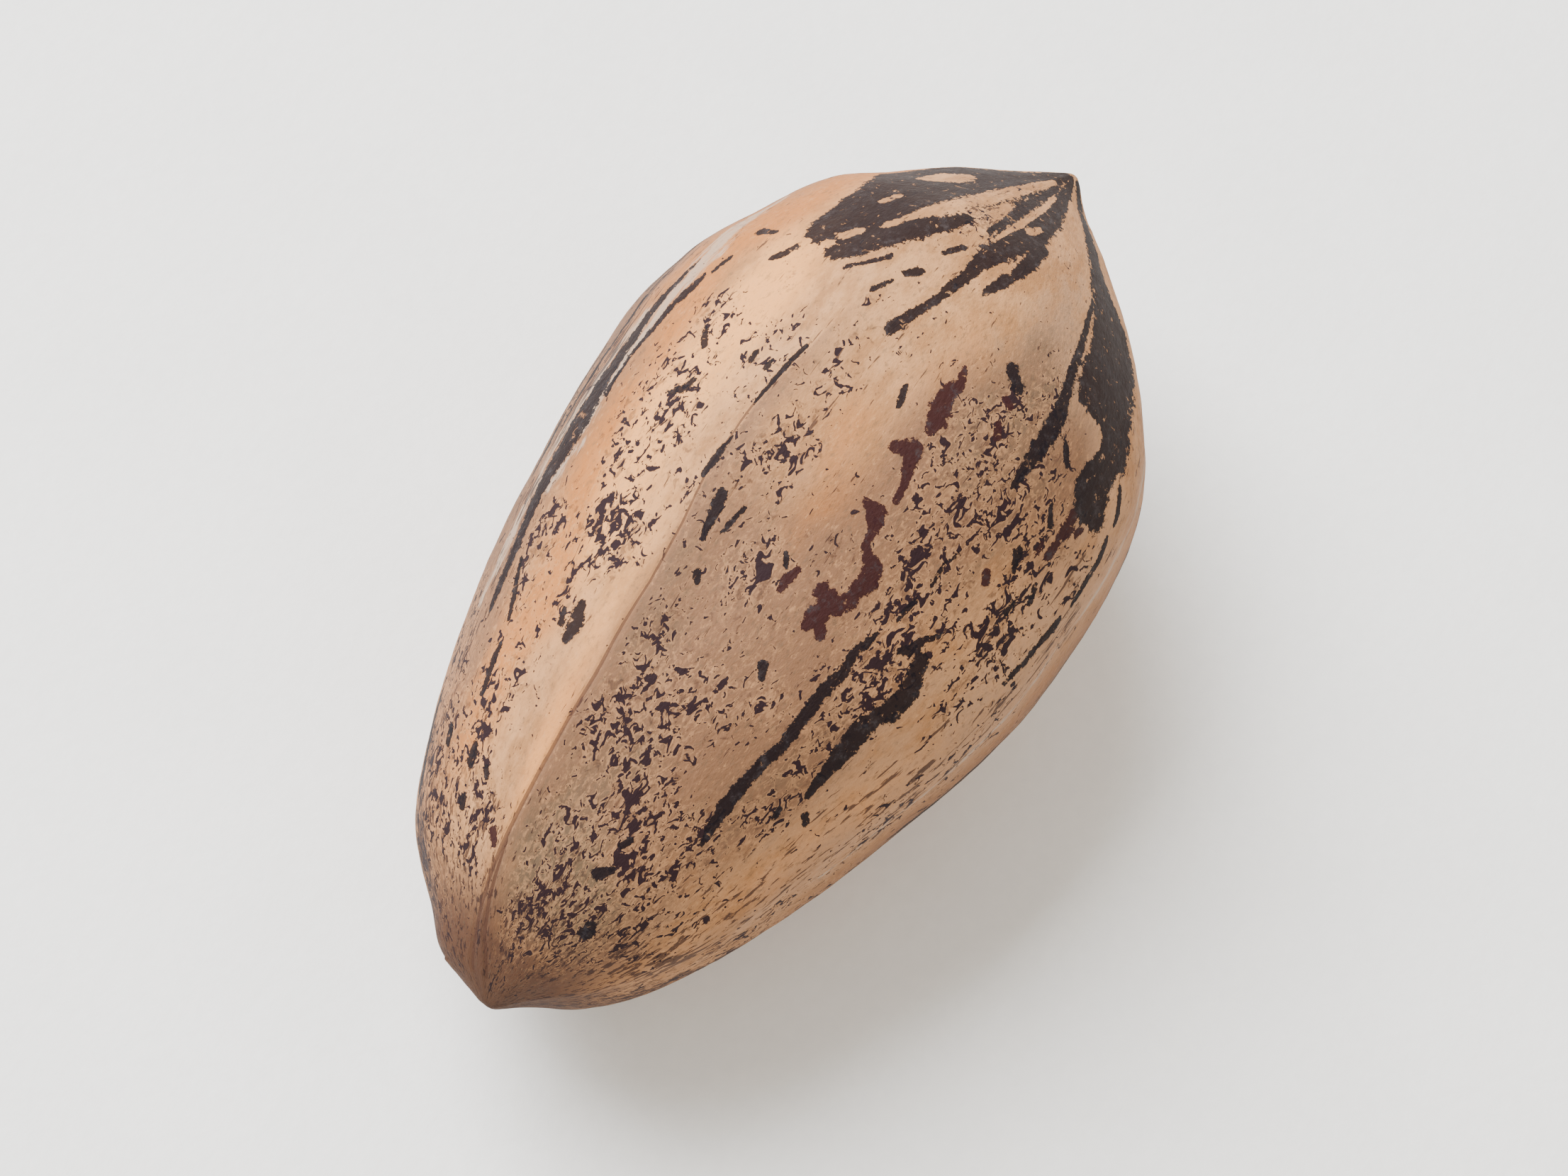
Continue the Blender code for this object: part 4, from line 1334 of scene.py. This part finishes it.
    def flecks(self, sheet: NodeSheet, grain: Signal) -> tuple[Signal, Signal]:
        """Paint the small flecks, which lie in crowds, the scratches and some faint spots.

        Args:
            sheet: The material's nodes.
            grain: The shell's grain.

        Returns:
            1 on the flecks and scratches, less on the faint spots, and 1 on the paler rings
            round the flecks.
        """
        crowds = (sheet.noise(grain, self.crowds) - 0.5) * self.crowds.share
        density = sheet.attribute(Zone.FLECKS.value).most(0.0).least(1.0) * self.density
        coarse = sheet.noise(grain, self.coarse) + density + crowds
        fine = sheet.noise(grain, self.fine) + density + crowds
        blobs = coarse.step(*self.coarse.edge).most(fine.step(*self.fine.edge))
        halo = coarse.most(fine).step(*self.halo_edge) * density.step(*self.halo_crowd)
        lines = sheet.attribute(Zone.SCRATCHES.value) * self.lines_size + crowds
        lines = (sheet.noise(grain, self.lines) + lines).step(*self.lines.edge)
        faint = sheet.noise(grain, self.faint) + density * self.faint_density + crowds
        faint = faint.step(*self.faint.edge) * self.faint.share
        return blobs.most(lines * self.lines.share).most(faint), halo

    def mark_colour(self, sheet: NodeSheet, here: Signal) -> Signal:
        """Mix the colours of the dark marks."""
        dark = sheet.attribute(Mark.DARK.value)
        rusty = sheet.attribute(Mark.RUSTY.value) - dark
        colour = sheet.mix(rusty.step(*self.rust_edge) * self.rust_share, self.ink, self.rust)
        narrow, less = self.dusting_share
        dust = sheet.noise(here, self.dusting).step(*self.dusting.edge)
        return sheet.mix(dust * (narrow - dark.step(*self.broad_edge) * less), colour, self.dust)


@dataclass(frozen=True)
class PaperFloor:
    """A plain sheet of white paper.

    Attributes:
        size: Its side.
        white: Its colour.
        roughness: How matt it is.
        tooth: Height of its faint roughness.
        fibres: Noise of that roughness.
        clouds: Noise of its broad, faint shades.
        shade: How bright its darker places are beside the others.
        shade_edge: Where the two noises together turn from the one into the other.
    """

    size: float = 1.6
    white: Colour = linear(238, 237, 235)
    roughness: float = 0.85
    tooth: float = 0.03 * MM
    fibres: Noise = Noise(0.8, 4.0, 0.6)
    clouds: Noise = Noise(9.0, 2.0, 0.5)
    shade: float = 0.95
    shade_edge: Pair = (0.3, 0.7)

    def build(self) -> bpy.types.Object:
        """Lay the paper at the height on which the nut rests.

        Returns:
            The paper.
        """
        bpy.ops.object.select_all(action="DESELECT")
        bpy.ops.mesh.primitive_plane_add(size=self.size, location=(0, 0, 0))
        paper = bpy.context.active_object
        paper.name = "paper_floor"
        sheet = NodeSheet("paper")
        here = sheet.millimetres()
        fibres = sheet.noise(here, self.fibres)
        clouds = sheet.noise(here, self.clouds)
        tone = (fibres * 0.5 + clouds * 0.5).step(*self.shade_edge)
        darker = tuple(part * self.shade for part in self.white[:3]) + (1.0,)
        sheet.feed(sheet.surface.inputs["Base Color"], sheet.mix(tone, darker, self.white))
        sheet.surface.inputs["Roughness"].default_value = self.roughness
        sheet.feed(sheet.surface.inputs["Normal"], sheet.bump(fibres, self.tooth))
        paper.data.materials.append(sheet.material)
        return paper


@dataclass(frozen=True)
class Studio:
    """Soft light and the camera, placed by the photograph's own directions.

    Attributes:
        nut_heading: How far the nut's tip is turned from the camera's right, on the floor.
        eye_direction: From the nut to the camera: right, away and up, as the photo is seen.
        eye_distance: From the nut to the camera.
        aim: The point that the camera looks at, to the right, away and up from the origin.
        lens: Focal length in millimetres.
        sensor: Width of the sensor in millimetres.
        nearest: Distance from which on the camera sees.
        key_direction: From the nut to the main light: right, away and up.
        key_distance: From the nut to the main light.
        key_size: Side of the main light.
        key_power: Its power in watts.
        key_colour: Its colour.
        sky: The colour of the light from all round.
        sky_strength: Its strength.
    """

    nut_heading: float = math.radians(56.5)
    eye_direction: Triple = (-0.165, -0.310, 0.936)
    eye_distance: float = 0.210
    aim: Triple = (0.00005, -0.00057, 0.0110)
    lens: float = 113.0
    sensor: float = 36.0
    nearest: float = 0.005
    key_direction: Triple = (-0.50, 0.46, 0.80)
    key_distance: float = 0.60
    key_size: float = 0.42
    key_power: float = 12.5
    key_colour: Triple = (0.97, 0.985, 1.0)
    sky: Colour = (1.0, 0.94, 0.84, 1.0)
    sky_strength: float = 1.1

    def in_frame(self, seen: Triple) -> Vector:
        """Turn a vector given as the photo is seen into the part's frame.

        Args:
            seen: Right, away and up.

        Returns:
            The same vector along the part's axes.
        """
        right = Vector((math.cos(self.nut_heading), -math.sin(self.nut_heading), 0))
        away = Vector((math.sin(self.nut_heading), math.cos(self.nut_heading), 0))
        return right * seen[0] + away * seen[1] + Vector((0, 0, seen[2]))

    def build(self) -> None:
        """Set up the camera, the main light and the sky."""
        self.place_camera()
        self.place_key()
        self.light_sky()

    def place_camera(self) -> None:
        """Look down at the nut as the photograph does."""
        camera = bpy.data.objects.new("camera", bpy.data.cameras.new("camera"))
        bpy.context.scene.collection.objects.link(camera)
        back = self.in_frame(self.eye_direction).normalized()
        away = self.in_frame((0, 1, 0))
        up = (away - away.dot(back) * back).normalized()
        turn = Matrix((up.cross(back), up, back)).transposed().to_4x4()
        eye = self.in_frame(self.aim) + back * self.eye_distance
        camera.matrix_world = Matrix.Translation(eye) @ turn
        camera.data.lens = self.lens
        camera.data.sensor_width = self.sensor
        camera.data.clip_start = self.nearest
        bpy.context.scene.camera = camera

    def place_key(self) -> None:
        """Hang a large soft light to the upper left of the picture."""
        lamp = bpy.data.lights.new("key_light", "AREA")
        lamp.size = self.key_size
        lamp.energy = self.key_power
        lamp.color = self.key_colour
        key = bpy.data.objects.new("key_light", lamp)
        bpy.context.scene.collection.objects.link(key)
        direction = self.in_frame(self.key_direction).normalized()
        key.location = direction * self.key_distance
        key.rotation_euler = direction.to_track_quat("Z", "Y").to_euler()

    def light_sky(self) -> None:
        """Fill the shadows with even light from all round."""
        world = bpy.data.worlds.new("sky")
        world.use_nodes = True
        background = world.node_tree.nodes["Background"]
        background.inputs["Color"].default_value = self.sky
        background.inputs["Strength"].default_value = self.sky_strength
        bpy.context.scene.world = world


def main() -> None:
    """Build the nut, the paper, the light and the camera."""
    logging.basicConfig(level=logging.INFO, format="%(message)s")
    nut = NutShell().build()
    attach(nut, "root")
    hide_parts(NODE)
    LOG.info("%s: %d vertices", nut.name, len(nut.data.vertices))
    paper = PaperFloor().build()
    LOG.info("%s: %.1f m wide", paper.name, PaperFloor.size)
    Studio().build()
    LOG.info("camera and light are placed")


if __name__ == "__main__":
    main()
